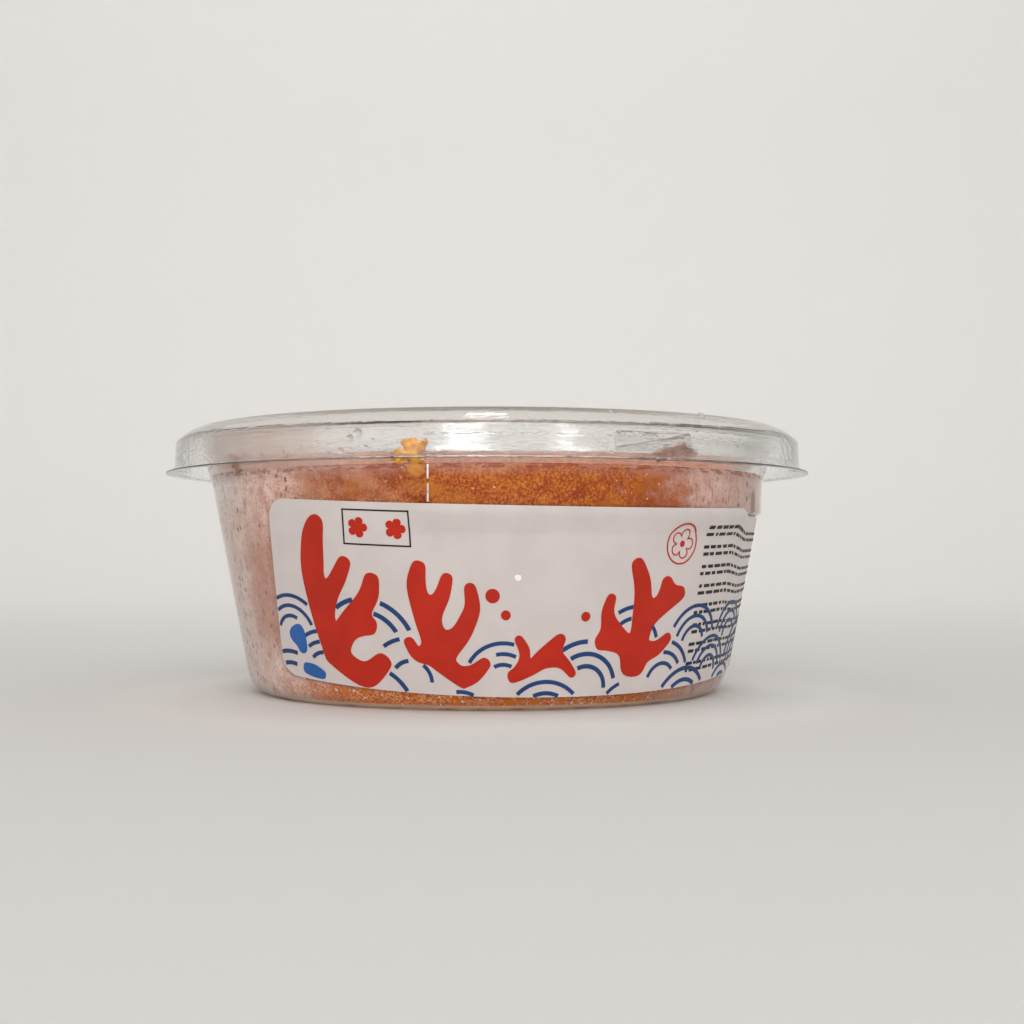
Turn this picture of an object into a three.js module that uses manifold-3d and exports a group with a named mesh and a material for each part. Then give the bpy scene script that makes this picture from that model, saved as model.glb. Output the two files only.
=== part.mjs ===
// A shut tub of flying fish roe: a clear thermoformed cup, its clear push-fit lid, the roe
// that fills it, and a printed paper label stuck round one side. Millimetres, +Z up. The
// origin is on the floor, on the tub's axis, and the label's front faces -Y.
import * as THREE from "three";
import { mergeVertices } from "three/addons/utils/BufferGeometryUtils.js";
import Module from "manifold-3d";

// The cup: a foot ring, a round bottom corner, a wall that leans out, a rim that stands
// almost upright, and a flange with a turned-down lip.
const CUP_WALL = 0.6;
const FLOOR_RISE = 0.8;
const FLOOR_RADIUS = 40.5;
const FOOT_INNER_RADIUS = 42.0;
const CORNER_CENTRE_RADIUS = 45.4;
const CORNER_ROUND = 5.0;
const WALL_LEAN = 0.19;
const WALL_TOP = 44.0;
const WALL_TOP_RADIUS = 57.88;
const RIM_FOOT = 46.5;
const RIM_FOOT_RADIUS = 58.8;
const RIM_TOP = 50.3;
const RIM_TOP_RADIUS = 59.2;
const FLANGE_UNDERSIDE = 50.7;
const FLANGE_INNER_RADIUS = 59.8;
const FLANGE_OUTER_RADIUS = 64.3;
const LIP_END = 49.8;

// Two upright panels pressed out of the cup's wall. Each ends below in a short ledge and
// above in a shallow recess of the rim, so that stacked empty cups don't jam.
const PANEL_RADIUS = 57.65;
const PANEL_LEDGE_FOOT = 36.3;
const PANEL_LEDGE = 37.1;
const PANEL_MIDDLE = 40.6;
const PANEL_TOP = 48.9;
const PANEL_TOP_END = 49.6;
const PANEL_START = -13;
const PANEL_SPAN = 96;
const PANEL_SIDE = 1.2;

// The lid: a sunk centre panel, a plug that fits inside the rim, a raised ridge, a sloping
// shoulder, an upright skirt and a thin flat brim.
const LID_WALL = 0.5;
const LID_PANEL_UNDERSIDE = 46.0;
const PLUG_FOOT_RADIUS = 56.3;
const PLUG_NECK_RADIUS = 56.7;
const PLUG_NECK_HEIGHT = 49.7;
const RIDGE_INNER_RADIUS = 59.0;
const RIDGE_OUTER_RADIUS = 60.5;
const LID_TOP = 54.3;
const SHOULDER_RADIUS = 65.0;
const SHOULDER_HEIGHT = 51.7;
const SKIRT_FOOT_RADIUS = 65.3;
const SKIRT_FOOT = 46.4;
const BRIM_RADIUS = 67.0;
const BRIM_UNDERSIDE = 45.3;

// The roe: eggs packed against the wall, with a bumpy open top just under the lid.
const CLEARANCE = 0.35;
const ROE_LEVEL = 44.1;
const ROE_SWELL = 0.45;
const EGG_PITCH = 2.35;
const EGG_BUMP = 0.75;
const EGG_SEED = 7;

// The label: a strip of even height with round corners. Its long edges sag a little in the
// middle, because it is straighter than the leaning wall that it wraps.
const LABEL_START = -44.5;
const LABEL_END = 105;
const LABEL_THICKNESS = 0.25;
const LABEL_OFF_WALL = 0.15;
const LABEL_CORNER = 4.0;
const LABEL_TOP_EDGE = { lowest: 37.05, at: 24, rise: 0.00045 };
const LABEL_BOTTOM_EDGE = { lowest: 2.8, at: 17, rise: 0.00075 };
const TENT_FOOT = 32.5;
const TENT_TOP = 36.3;
const TENT_SIDE = 6;

// Every round body has its facet edges at the same azimuths, in degrees from -Y towards +X,
// so that the walls of neighbouring pieces stay parallel.
const FACET = 6;
const PANEL_PITCH = 180;

const degrees = THREE.MathUtils.degToRad;
const ramp = (value, from, to) => THREE.MathUtils.clamp((value - from) / (to - from), 0, 1);

// Positions alone, with shared vertices merged, so that a surface is one closed mesh.
function welded(geometry) {
  geometry.deleteAttribute("normal");
  geometry.deleteAttribute("uv");
  return mergeVertices(geometry, 1e-4);
}

// How much of a panel there is at an azimuth: 1 on it, 0 off it, and a steep side between.
function panelShare(azimuth, side = PANEL_SIDE) {
  const fromStart = THREE.MathUtils.euclideanModulo(azimuth - PANEL_START + side, PANEL_PITCH);
  return Math.min(ramp(fromStart, 0, side), 1 - ramp(fromStart, PANEL_SPAN + side, PANEL_SPAN + 2 * side));
}

const plainColumns = [];
const panelSides = [];
for (const start of [PANEL_START - PANEL_PITCH, PANEL_START]) {
  for (let turn = 0; turn < PANEL_PITCH; turn += FACET) plainColumns.push(start + turn);
  panelSides.push(start - PANEL_SIDE, start + PANEL_SPAN + PANEL_SIDE);
}
const cupColumns = [...plainColumns, ...panelSides].sort((a, b) => a - b);

// The outer radius of the cup's wall at a height, without the panels.
function wallRadius(height) {
  const inCorner = CORNER_ROUND - height;
  const corner = CORNER_CENTRE_RADIUS + Math.sqrt(Math.max(CORNER_ROUND ** 2 - inCorner ** 2, 0));
  const wall = WALL_TOP_RADIUS - WALL_LEAN * (WALL_TOP - height);
  if (height < CORNER_ROUND) return Math.min(corner, wall);
  if (height <= WALL_TOP) return wall;
  const flare = ramp(height, WALL_TOP, RIM_FOOT) * (RIM_FOOT_RADIUS - WALL_TOP_RADIUS);
  const rim = ramp(height, RIM_FOOT, RIM_TOP) * (RIM_TOP_RADIUS - RIM_FOOT_RADIUS);
  return WALL_TOP_RADIUS + flare + rim;
}

// How far a panel stands out of the wall at a height, or into the rim where it is less.
function panelRelief(height) {
  const present =
    ramp(height, PANEL_LEDGE_FOOT, PANEL_LEDGE) - ramp(height, PANEL_TOP, PANEL_TOP_END);
  return present * (PANEL_RADIUS - wallRadius(height));
}

// A thin wall's other face: the points of one face moved to its left by the thickness.
function otherFace(face, thickness) {
  const sideways = (a, b) => new THREE.Vector2(a[1] - b[1], b[0] - a[0]).normalize();
  return face.map((point, i) => {
    const before = sideways(face[Math.max(i - 1, 0)], face[Math.max(i, 1)]);
    const last = face.length - 1;
    const after = sideways(face[Math.min(i, last - 1)], face[Math.min(i + 1, last)]);
    const reach = thickness / (1 + before.dot(after));
    const moved = before.add(after).multiplyScalar(reach);
    return [point[0] === 0 ? 0 : point[0] + moved.x, point[1] + moved.y, point[2] ?? 0];
  });
}

// A profile of [radius, height, panel relief] points, from axis to axis, turned about +Z.
function turned(profile, columns) {
  const points2d = profile.map(([radius, height]) => new THREE.Vector2(radius, height));
  const lathe = new THREE.LatheGeometry(points2d, columns.length);
  const position = lathe.getAttribute("position");
  for (let i = 0; i < position.count; i++) {
    const [radius, height, relief = 0] = profile[i % profile.length];
    const azimuth = columns[Math.floor(i / profile.length) % columns.length];
    const reach = radius + relief * panelShare(azimuth);
    const angle = degrees(azimuth);
    position.setXYZ(i, reach * Math.sin(angle), -reach * Math.cos(angle), height);
  }
  return welded(lathe);
}

// The round bottom corner, from the foot ring to the leaning wall.
function cornerPoints(inset = 0) {
  const steps = 3;
  const points = [];
  for (let i = 0; i <= steps; i++) {
    const angle = degrees(-90) + (i / steps) * (degrees(90) - Math.atan(WALL_LEAN));
    const round = CORNER_ROUND - inset;
    points.push([
      CORNER_CENTRE_RADIUS + round * Math.cos(angle),
      CORNER_ROUND + round * Math.sin(angle),
    ]);
  }
  return points;
}

// The wall and rim above the corner, each point with the panel's relief at its height. A
// filling lies inset from the wall and lifted off the ledge.
function wallPoints(heights, inset = 0, lift = 0) {
  return heights.map((height) => [wallRadius(height) - inset, height + lift, panelRelief(height)]);
}

function cupGeometry() {
  const outside = [
    [0, FLOOR_RISE],
    [FLOOR_RADIUS, FLOOR_RISE],
    [FOOT_INNER_RADIUS, 0],
    ...cornerPoints(),
    ...wallPoints([
      PANEL_LEDGE_FOOT, PANEL_LEDGE, PANEL_MIDDLE, WALL_TOP, RIM_FOOT,
      PANEL_TOP, PANEL_TOP_END, RIM_TOP,
    ]),
    [FLANGE_INNER_RADIUS, FLANGE_UNDERSIDE],
    [FLANGE_OUTER_RADIUS - CUP_WALL, FLANGE_UNDERSIDE],
    [FLANGE_OUTER_RADIUS - CUP_WALL, LIP_END],
  ];
  return turned([...outside, ...otherFace(outside, CUP_WALL).reverse()], cupColumns);
}

function lidGeometry() {
  const ridgeUnderside = LID_TOP - LID_WALL;
  const shoulder = (share) => {
    const fall = share ** 1.35;
    const radius = RIDGE_OUTER_RADIUS + share * (SHOULDER_RADIUS - LID_WALL - RIDGE_OUTER_RADIUS);
    return [radius, ridgeUnderside - fall * (LID_TOP - SHOULDER_HEIGHT)];
  };
  const underside = [
    [0, LID_PANEL_UNDERSIDE],
    [PLUG_FOOT_RADIUS - 1.2, LID_PANEL_UNDERSIDE],
    [PLUG_FOOT_RADIUS, LID_PANEL_UNDERSIDE + 0.9],
    [PLUG_NECK_RADIUS, PLUG_NECK_HEIGHT],
    [PLUG_NECK_RADIUS + 1.3, PLUG_NECK_HEIGHT + 1.3],
    [RIDGE_INNER_RADIUS - 0.3, ridgeUnderside - 0.8],
    [RIDGE_INNER_RADIUS + 0.4, ridgeUnderside],
    shoulder(0),
    shoulder(0.5),
    shoulder(1),
    [SKIRT_FOOT_RADIUS - LID_WALL, SKIRT_FOOT],
    [SKIRT_FOOT_RADIUS + 0.1, BRIM_UNDERSIDE + 0.15],
    [BRIM_RADIUS, BRIM_UNDERSIDE],
  ];
  return turned([...underside, ...otherFace(underside, LID_WALL).reverse()], plainColumns);
}

// The space inside the cup, filled past the roe's level and cut by a bumpy surface.
function roeGeometry(wasm) {
  const inset = CUP_WALL + CLEARANCE;
  const aboveTheRoe = RIM_FOOT;
  const floor = FLOOR_RISE + inset;
  const filling = turned(
    [
      [0, floor],
      [FLOOR_RADIUS, floor],
      ...cornerPoints(inset).slice(1),
      ...wallPoints(
        [PANEL_LEDGE_FOOT, PANEL_LEDGE, PANEL_MIDDLE, WALL_TOP, aboveTheRoe],
        inset,
        CLEARANCE,
      ),
      [0, aboveTheRoe + CLEARANCE],
    ],
    cupColumns,
  );

  const steps = Math.ceil((2 * RIM_FOOT_RADIUS) / EGG_PITCH);
  const width = steps * EGG_PITCH;
  const slab = welded(new THREE.BoxGeometry(width, width, 2 * ROE_LEVEL, steps, steps, 1));
  const position = slab.getAttribute("position");
  const point = new THREE.Vector3();
  for (let i = 0; i < position.count; i++) {
    point.fromBufferAttribute(position, i);
    if (point.z < 0) continue;
    const row = Math.round(point.y / EGG_PITCH + steps / 2);
    const column = Math.round(point.x / EGG_PITCH + steps / 2);
    const swell = Math.sin(point.x / 13 + 0.6) * Math.cos(point.y / 17 - 0.4);
    const egg = THREE.MathUtils.seededRandom(EGG_SEED + row * (steps + 1) + column) - 0.5;
    const height = ROE_LEVEL + ROE_SWELL * swell + EGG_BUMP * egg;
    position.setXYZ(i, point.x + (row % 2 ? EGG_PITCH / 4 : -EGG_PITCH / 4), point.y, height);
  }

  const solid = (geometry) =>
    new wasm.Manifold(
      new wasm.Mesh({
        numProp: 3,
        vertProperties: new Float32Array(geometry.getAttribute("position").array),
        triVerts: new Uint32Array(geometry.index.array),
      }),
    );
  const cut = solid(filling).intersect(solid(slab)).getMesh();
  const roe = new THREE.BufferGeometry();
  roe.setAttribute("position", new THREE.BufferAttribute(cut.vertProperties, 3));
  roe.setIndex(new THREE.BufferAttribute(cut.triVerts, 1));
  return roe;
}

// The label's long edges: lowest at one azimuth and rising to both ends.
function labelEdge(edge, azimuth) {
  return edge.lowest + edge.rise * (azimuth - edge.at) ** 2;
}

// The label lies on the wall and stretches like a tent over the ledge of the front panel.
function labelRadius(azimuth, height) {
  const tent = ramp(height, TENT_FOOT, TENT_TOP) * panelShare(azimuth, TENT_SIDE);
  const wall = wallRadius(height);
  return wall + tent * Math.max(PANEL_RADIUS - wall, 0) + LABEL_OFF_WALL;
}

function labelGeometry() {
  const cornerStops = [0, 0.08, 0.3, 0.65, 1].map((share) => {
    const middleRadius = wallRadius((LABEL_TOP_EDGE.lowest + LABEL_BOTTOM_EDGE.lowest) / 2);
    return THREE.MathUtils.radToDeg((share * LABEL_CORNER) / middleRadius);
  });
  const inner = cupColumns.filter(
    (azimuth) => azimuth > LABEL_START + FACET && azimuth < LABEL_END - FACET,
  );
  const columns = [
    ...cornerStops.map((stop) => LABEL_START + stop),
    ...inner,
    ...cornerStops.map((stop) => LABEL_END - stop).reverse(),
  ];
  const rows = [0, 0.03, 0.07, 0.3, 0.6, 0.86, 0.93, 0.97, 1];

  const strip = welded(new THREE.BoxGeometry(1, 1, 1, columns.length - 1, 1, rows.length - 1));
  const position = strip.getAttribute("position");
  for (let i = 0; i < position.count; i++) {
    const azimuth = columns[Math.round((position.getX(i) + 0.5) * (columns.length - 1))];
    const row = rows[Math.round((position.getZ(i) + 0.5) * (rows.length - 1))];
    const toEnd = degrees(Math.min(azimuth - LABEL_START, LABEL_END - azimuth)) * RIM_FOOT_RADIUS;
    const intoCorner = Math.max(LABEL_CORNER - toEnd, 0);
    const round = LABEL_CORNER - Math.sqrt(LABEL_CORNER ** 2 - intoCorner ** 2);
    const bottom = labelEdge(LABEL_BOTTOM_EDGE, azimuth) + round;
    const top = labelEdge(LABEL_TOP_EDGE, azimuth) - round;
    const height = THREE.MathUtils.lerp(bottom, top, row);
    const face = position.getY(i) < 0 ? LABEL_THICKNESS : 0;
    const radius = labelRadius(azimuth, height) + face;
    const angle = degrees(azimuth);
    position.setXYZ(i, radius * Math.sin(angle), -radius * Math.cos(angle), height);
  }
  return strip;
}

const clearPlastic = { color: 0xe4ecec, roughness: 0.08, metalness: 0, transparent: true, opacity: 0.35 };
const finishes = {
  tub: clearPlastic,
  lid: clearPlastic,
  roe: { color: 0xc9663f, roughness: 0.35, metalness: 0 },
  label: { color: 0xf1f1ef, roughness: 0.45, metalness: 0 },
};

function piece(name, geometry) {
  geometry.computeVertexNormals();
  const mesh = new THREE.Mesh(geometry, new THREE.MeshStandardMaterial(finishes[name]));
  mesh.name = name;
  return mesh;
}

const wasm = await Module();
wasm.setup();

const tubOfRoe = new THREE.Group();
tubOfRoe.add(
  piece("tub", cupGeometry()),
  piece("lid", lidGeometry()),
  piece("roe", roeGeometry(wasm)),
  piece("label", labelGeometry()),
);

export default tubOfRoe;
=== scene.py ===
import math
import random

import bmesh
import bpy
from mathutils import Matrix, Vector


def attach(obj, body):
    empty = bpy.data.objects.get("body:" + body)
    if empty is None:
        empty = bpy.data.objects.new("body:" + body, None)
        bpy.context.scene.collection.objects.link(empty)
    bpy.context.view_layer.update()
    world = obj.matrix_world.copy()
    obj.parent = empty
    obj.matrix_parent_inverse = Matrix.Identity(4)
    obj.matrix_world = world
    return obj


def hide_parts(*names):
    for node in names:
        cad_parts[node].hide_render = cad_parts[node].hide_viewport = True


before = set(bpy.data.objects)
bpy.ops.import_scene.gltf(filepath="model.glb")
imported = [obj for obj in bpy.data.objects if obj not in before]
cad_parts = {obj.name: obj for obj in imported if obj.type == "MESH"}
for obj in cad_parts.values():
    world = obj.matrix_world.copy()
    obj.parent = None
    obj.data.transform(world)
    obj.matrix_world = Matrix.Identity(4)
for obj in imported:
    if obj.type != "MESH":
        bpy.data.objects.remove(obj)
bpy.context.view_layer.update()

# The view
# The photograph was taken level, a third of a metre from the tub's axis and at about half its
# height. The lens is shifted, not tilted, by the few pixels that put the tub where it stands.
MM = 0.001
PHOTO_WIDTH = 1024
VIEW_DISTANCE = 320
VIEW_HEIGHT = 28.5
LENS = 52.7
PIXELS_LEFT_OF_CENTRE = 25
PIXELS_BELOW_CENTRE = 43

bpy.ops.object.select_all(action="DESELECT")
bpy.ops.object.camera_add(
    location=(0, -VIEW_DISTANCE * MM, VIEW_HEIGHT * MM), rotation=(math.radians(90), 0, 0)
)
camera = bpy.context.object
camera.data.lens = LENS
camera.data.clip_start = 10 * MM
camera.data.shift_x = PIXELS_LEFT_OF_CENTRE / PHOTO_WIDTH
camera.data.shift_y = PIXELS_BELOW_CENTRE / PHOTO_WIDTH
bpy.context.scene.camera = camera
bpy.context.scene.view_settings.view_transform = "Standard"
bpy.context.scene.cycles.max_bounces = 16
bpy.context.scene.cycles.transmission_bounces = 15
bpy.context.scene.cycles.transparent_max_bounces = 16


# The tub
# The real cup is one sheet of clear plastic, heated and drawn into a mould, half a millimetre
# thick. It stands on a foot ring, its wall leans out, and a flange runs round under the lid.
TUB_WALL = 0.5
TUB_OUTLINE = [
    (0, 0.8), (40.5, 0.8), (42.2, 0.0), (49.53, 0.0), (57.88, 44.0), (58.8, 46.5),
    (59.3, 50.8), (59.8, 51.2), (63.7, 51.2), (63.7, 50.6),
]
TUB_ROUNDS = [
    (40.5, 0.8, 0.8), (42.2, 0.0, 0.8), (49.53, 0.0, 4.1), (57.88, 44.0, 0.9),
    (58.8, 46.5, 0.9), (59.3, 50.8, 0.3), (59.8, 51.2, 0.25), (63.7, 51.2, 0.3),
]
WALL_FROM, WALL_TO = 4.6, 50.0
RING_PITCH = 1.3
ROUND_STEPS = 360


def draw_chain(name, outline):
    """A chain of edges through (radius, height) points, in the plane of +X and +Z."""
    bpy.ops.object.select_all(action="DESELECT")
    radius, height = outline[0]
    bpy.ops.mesh.primitive_plane_add(size=MM, location=(radius * MM, 0, height * MM))
    drawn = bpy.context.object
    drawn.name = name
    bpy.ops.object.mode_set(mode="EDIT")
    bpy.ops.mesh.merge(type="CENTER")
    for (radius, height), (next_radius, next_height) in zip(outline, outline[1:]):
        step = ((next_radius - radius) * MM, 0, (next_height - height) * MM)
        bpy.ops.mesh.extrude_region_move(TRANSFORM_OT_translate={"value": step})
    bpy.ops.object.mode_set(mode="OBJECT")
    bpy.ops.object.transform_apply(location=True, rotation=True, scale=True)
    return drawn


def select_where(piece, test):
    """In edit mode, selects the vertices whose place passes the test, and returns their places."""
    bpy.ops.mesh.select_mode(type="VERT")
    bpy.ops.mesh.select_all(action="DESELECT")
    mesh = bmesh.from_edit_mesh(piece.data)
    found = [vertex for vertex in mesh.verts if test(vertex.co)]
    for vertex in found:
        vertex.select = True
    mesh.select_flush_mode()
    bmesh.update_edit_mesh(piece.data)
    return [vertex.co.copy() for vertex in found]


def round_corner(piece, radius, height, cut, steps=6):
    """Rounds the chain's corner at a radius and height, cutting its edges back by cut."""
    at = Vector((radius * MM, 0, height * MM))
    select_where(piece, lambda place: (place - at).length < 0.01 * MM)
    bpy.ops.mesh.bevel(offset=cut * MM, segments=steps, affect="VERTICES")


def add_ring(height):
    """Cuts every selected edge at a height, which gives the spun shape one more ring."""
    bpy.ops.mesh.select_all(action="SELECT")
    bpy.ops.mesh.bisect(plane_co=(0, 0, height * MM), plane_no=(0, 0, 1), threshold=0.001 * MM)


def spin_round(piece, steps=ROUND_STEPS):
    """Turns the chain once about the tub's axis, and closes its seam and poles."""
    bpy.ops.mesh.select_all(action="SELECT")
    bpy.ops.mesh.spin(steps=steps, angle=math.tau, center=(0, 0, 0), axis=(0, 0, 1))
    bpy.ops.mesh.select_all(action="SELECT")
    bpy.ops.mesh.remove_doubles(threshold=0.01 * MM)
    bpy.ops.mesh.normals_make_consistent(inside=False)


def make_active(piece, mode="OBJECT"):
    """Selects one piece alone and makes it the active one, in object or edit mode."""
    bpy.ops.object.select_all(action="DESELECT")
    piece.select_set(True)
    bpy.context.view_layer.objects.active = piece
    bpy.ops.object.mode_set(mode=mode)


def apply_modifiers(piece):
    """Applies every modifier on a piece, in order."""
    make_active(piece)
    for modifier in list(piece.modifiers):
        bpy.ops.object.modifier_apply(modifier=modifier.name)


def copy_of(piece, name):
    """A copy of a piece with its own mesh."""
    make_active(piece)
    bpy.ops.object.duplicate()
    copied = bpy.context.object
    copied.name = name
    return copied


def reach_of(place):
    """How far a place is from the tub's axis, in millimetres."""
    return math.hypot(place.x, place.y) / MM


def azimuth_of(place):
    """The azimuth of a place in degrees, 0 at -Y and growing towards +X."""
    return math.degrees(math.atan2(place.x, -place.y))


tub_face = draw_chain("tub_face", TUB_OUTLINE)
bpy.ops.object.mode_set(mode="EDIT")
for radius, height, cut in TUB_ROUNDS:
    round_corner(tub_face, radius, height, cut)

# Two upright panels are pressed out of the wall, one in front and one behind. Each ends below
# in a ledge and above in a shallow recess of the rim, which keep stacked cups from jamming.
PANEL_RADIUS, PANEL_MID_HEIGHT, PANEL_LEAN = 57.65, 41, 0.034
LEDGE_FOOT, LEDGE = 36.3, 37.1
PANEL_TOP, PANEL_TOP_END = 48.9, 49.6
PANEL_MIDDLE = 35.5
PANEL_HALF = 46
PANEL_SHARES = [(PANEL_HALF, 1), (PANEL_HALF + 1, 0.5)]

for height in (LEDGE_FOOT, LEDGE, PANEL_TOP, PANEL_TOP_END):
    add_ring(height)
for step in range(int((WALL_TO - WALL_FROM) / RING_PITCH)):
    add_ring(WALL_FROM + RING_PITCH * step)
spin_round(tub_face)


def off_panel_middle(azimuth):
    """How many degrees an azimuth is from the middle of the nearer panel."""
    return abs((azimuth - PANEL_MIDDLE + 90) % 180 - 90)


wall_places = select_where(tub_face, lambda place: LEDGE - 0.01 < place.z / MM < PANEL_TOP + 0.01)
for height in sorted({round(place.z / MM, 3) for place in wall_places}):
    least = -1
    for most, share in PANEL_SHARES:
        ring = select_where(
            tub_face,
            lambda place: abs(place.z / MM - height) < 0.002
            and least < off_panel_middle(azimuth_of(place)) <= most,
        )
        reach = reach_of(ring[0])
        pressed = PANEL_RADIUS + PANEL_LEAN * (height - PANEL_MID_HEIGHT)
        grown = 1 + share * (pressed / reach - 1)
        bpy.ops.transform.resize(value=(grown, grown, 1), center_override=(0, 0, 0))
        least = most
bpy.ops.object.mode_set(mode="OBJECT")


def look_outwards(piece):
    """Turns the faces of a spun sheet so that its middle looks down, and its wall outwards."""
    middle = min(piece.data.polygons, key=lambda face: reach_of(face.center))
    if middle.normal.z > 0:
        piece.data.flip_normals()


def formed(piece, thickness):
    """Gives a spun sheet its thickness, on the inner side of its faces."""
    look_outwards(piece)
    sheet = piece.modifiers.new("sheet", "SOLIDIFY")
    sheet.thickness = thickness * MM
    sheet.offset = -1
    sheet.use_even_offset = True
    apply_modifiers(piece)


look_outwards(tub_face)
tub_shell = copy_of(tub_face, "tub_shell")
formed(tub_shell, TUB_WALL)
bpy.ops.object.shade_smooth_by_angle(angle=math.radians(40))


def socket_of(sockets, name):
    """A node's socket by its identifier, or else by its name, in which _ stands for a space."""
    for socket in sockets:
        if socket.identifier == name:
            return socket
    return sockets[name.replace("_", " ")]


def node(tree, kind, settings=None, **inputs):
    """Adds one node. An input is given as a value or as the socket that feeds it."""
    own_kind = kind.startswith(("GeometryNode", "FunctionNode"))
    made = tree.nodes.new(kind if own_kind else "ShaderNode" + kind)
    for name, value in (settings or {}).items():
        setattr(made, name, value)
    for name, value in inputs.items():
        socket = socket_of(made.inputs, name)
        if isinstance(value, bpy.types.NodeSocket):
            tree.links.new(value, socket)
        elif socket.type == "RGBA":
            socket.default_value = (*value, 1)
        else:
            socket.default_value = value
    return made


def object_place(tree):
    """The place on the piece, in its own coordinates."""
    return node(tree, "TexCoord").outputs["Object"]


def worked(tree, operation, *values):
    """The result of one Math node on up to three values."""
    names = ("Value", "Value_001", "Value_002")
    return node(tree, "Math", {"operation": operation}, **dict(zip(names, values))).outputs[0]


def eased(tree, value, low, high, to_low=0.0, to_high=1.0):
    """A value carried smoothly from to_low to to_high while it goes from low to high."""
    made = node(
        tree, "MapRange", {"interpolation_type": "SMOOTHSTEP"},
        Value=value, From_Min=low, From_Max=high, To_Min=to_low, To_Max=to_high,
    )
    return made.outputs[0]


def blended(tree, share, first, second, how="MIX"):
    """Two colours mixed by a share."""
    mix = node(
        tree, "Mix", {"data_type": "RGBA", "blend_type": how},
        Factor_Float=share, A_Color=first, B_Color=second,
    )
    return socket_of(mix.outputs, "Result_Color")


def graded(tree, value, *stops):
    """A colour ramp through (position, colour) stops, fed by a value."""
    ramp = node(tree, "ValToRGB", Fac=value)
    elements = ramp.color_ramp.elements
    while len(elements) < len(stops):
        elements.new(1)
    for element, (position, colour) in zip(elements, stops):
        element.position = position
        element.color = (*colour, 1)
    return ramp.outputs["Color"]


def noise(tree, place, scale, detail=2.0, roughness=0.5):
    """Cloudy noise with features of about one part in scale of a metre."""
    made = node(tree, "TexNoise", Vector=place, Scale=scale, Detail=detail, Roughness=roughness)
    return made.outputs["Fac"]


def bare_material(name):
    """A material with only an output node, and its node tree."""
    material = bpy.data.materials.new(name)
    material.use_nodes = True
    material.node_tree.nodes.clear()
    return material, material.node_tree


def surfaced(tree, shader):
    """Makes a shader the material's surface."""
    out = tree.nodes.new("ShaderNodeOutputMaterial")
    tree.links.new(shader.outputs[0], out.inputs["Surface"])


def scaled(tree, place, factors):
    """A place multiplied axis by axis."""
    return node(
        tree, "VectorMath", {"operation": "MULTIPLY"}, Vector=place, Vector_001=factors
    ).outputs[0]


def height_of(tree, place):
    """A place's height."""
    return node(tree, "SeparateXYZ", Vector=place).outputs["Z"]


def clear_stuff(name, tint, clearness, roughness, buckling, ripple, ior=1.42):
    """Clear formed plastic: glossy, a little buckled and rippled, and open to lamps' light."""
    material, tree = bare_material(name)
    place = object_place(tree)
    buckled = node(
        tree, "Bump", Strength=buckling, Distance=0.4 * MM, Height=noise(tree, place, 75)
    )
    calmer = eased(tree, height_of(tree, place), 51.2 * MM, 52.0 * MM, 1.0, 0.25)
    ridges = noise(tree, scaled(tree, place, (1, 1, 4.5)), 420, 2.2)
    ridges = worked(tree, "MULTIPLY", ridges, calmer)
    rippled = node(
        tree, "Bump", Strength=ripple, Distance=0.1 * MM, Height=ridges,
        Normal=buckled.outputs["Normal"],
    )
    plastic = node(
        tree, "BsdfPrincipled", Base_Color=tint(tree, place), Roughness=roughness(tree, place),
        IOR=ior, Specular_IOR_Level=0.4, Transmission_Weight=clearness(tree, place),
        Normal=rippled.outputs["Normal"],
    )
    passing = node(tree, "BsdfTransparent", Color=(0.97, 0.975, 0.97))
    to_lamp = node(tree, "LightPath").outputs["Is Shadow Ray"]
    mixed = node(
        tree, "MixShader", Fac=to_lamp,
        Shader=plastic.outputs["BSDF"], Shader_001=passing.outputs["BSDF"],
    )
    surfaced(tree, mixed)
    return material


def finish_with(piece, material, slot, *nodes):
    """Gives a piece its material and its body, and hides the modelled nodes it stands for. The slot is not
    used.
    """
    piece.data.materials.clear()
    piece.data.materials.append(material)
    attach(piece, "root")
    if nodes:
        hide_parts(*nodes)


def towards(tree, place, azimuth):
    """How squarely a place looks towards an azimuth, from 1 at it to -1 opposite."""
    level = scaled(tree, place, (1, 1, 0))
    unit = node(tree, "VectorMath", {"operation": "NORMALIZE"}, Vector=level).outputs[0]
    aim = (math.sin(math.radians(azimuth)), -math.cos(math.radians(azimuth)), 0)
    return node(
        tree, "VectorMath", {"operation": "DOT_PRODUCT"}, Vector=unit, Vector_001=aim
    ).outputs["Value"]


def on_side(tree, place, azimuth, low, high, most=1.0):
    """A share that rises to most where a place looks towards an azimuth."""
    return eased(tree, towards(tree, place, azimuth), low, high, 0.0, most)


# The wall above the roe keeps a thin pink film where the roe has run along it, most of it at
# the left.
FILM_AZIMUTH = -58
FILM_FOOT, FILM_FULL, FILM_HEAD = 43.4, 45, 50.6
TUB_CLEAR = (0.975, 0.978, 0.972)
FILM_PINK = (0.74, 0.58, 0.52)


def film(tree, place):
    """Where the film lies on the wall above the roe, from 0 to 1."""
    side = on_side(tree, place, FILM_AZIMUTH, 0.78, 0.97)
    height = height_of(tree, place)
    level = eased(tree, height, FILM_HEAD * MM, FILM_FULL * MM, 0.75, 1.0)
    above = eased(tree, height, FILM_FOOT * MM, (FILM_FOOT + 1.2) * MM)
    smeared = worked(tree, "MULTIPLY", side, worked(tree, "MULTIPLY", level, above))
    uneven = eased(tree, noise(tree, place, 160, 4.0), 0.3, 0.6, 0.5, 1.0)
    return worked(tree, "MULTIPLY", smeared, uneven)


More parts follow.
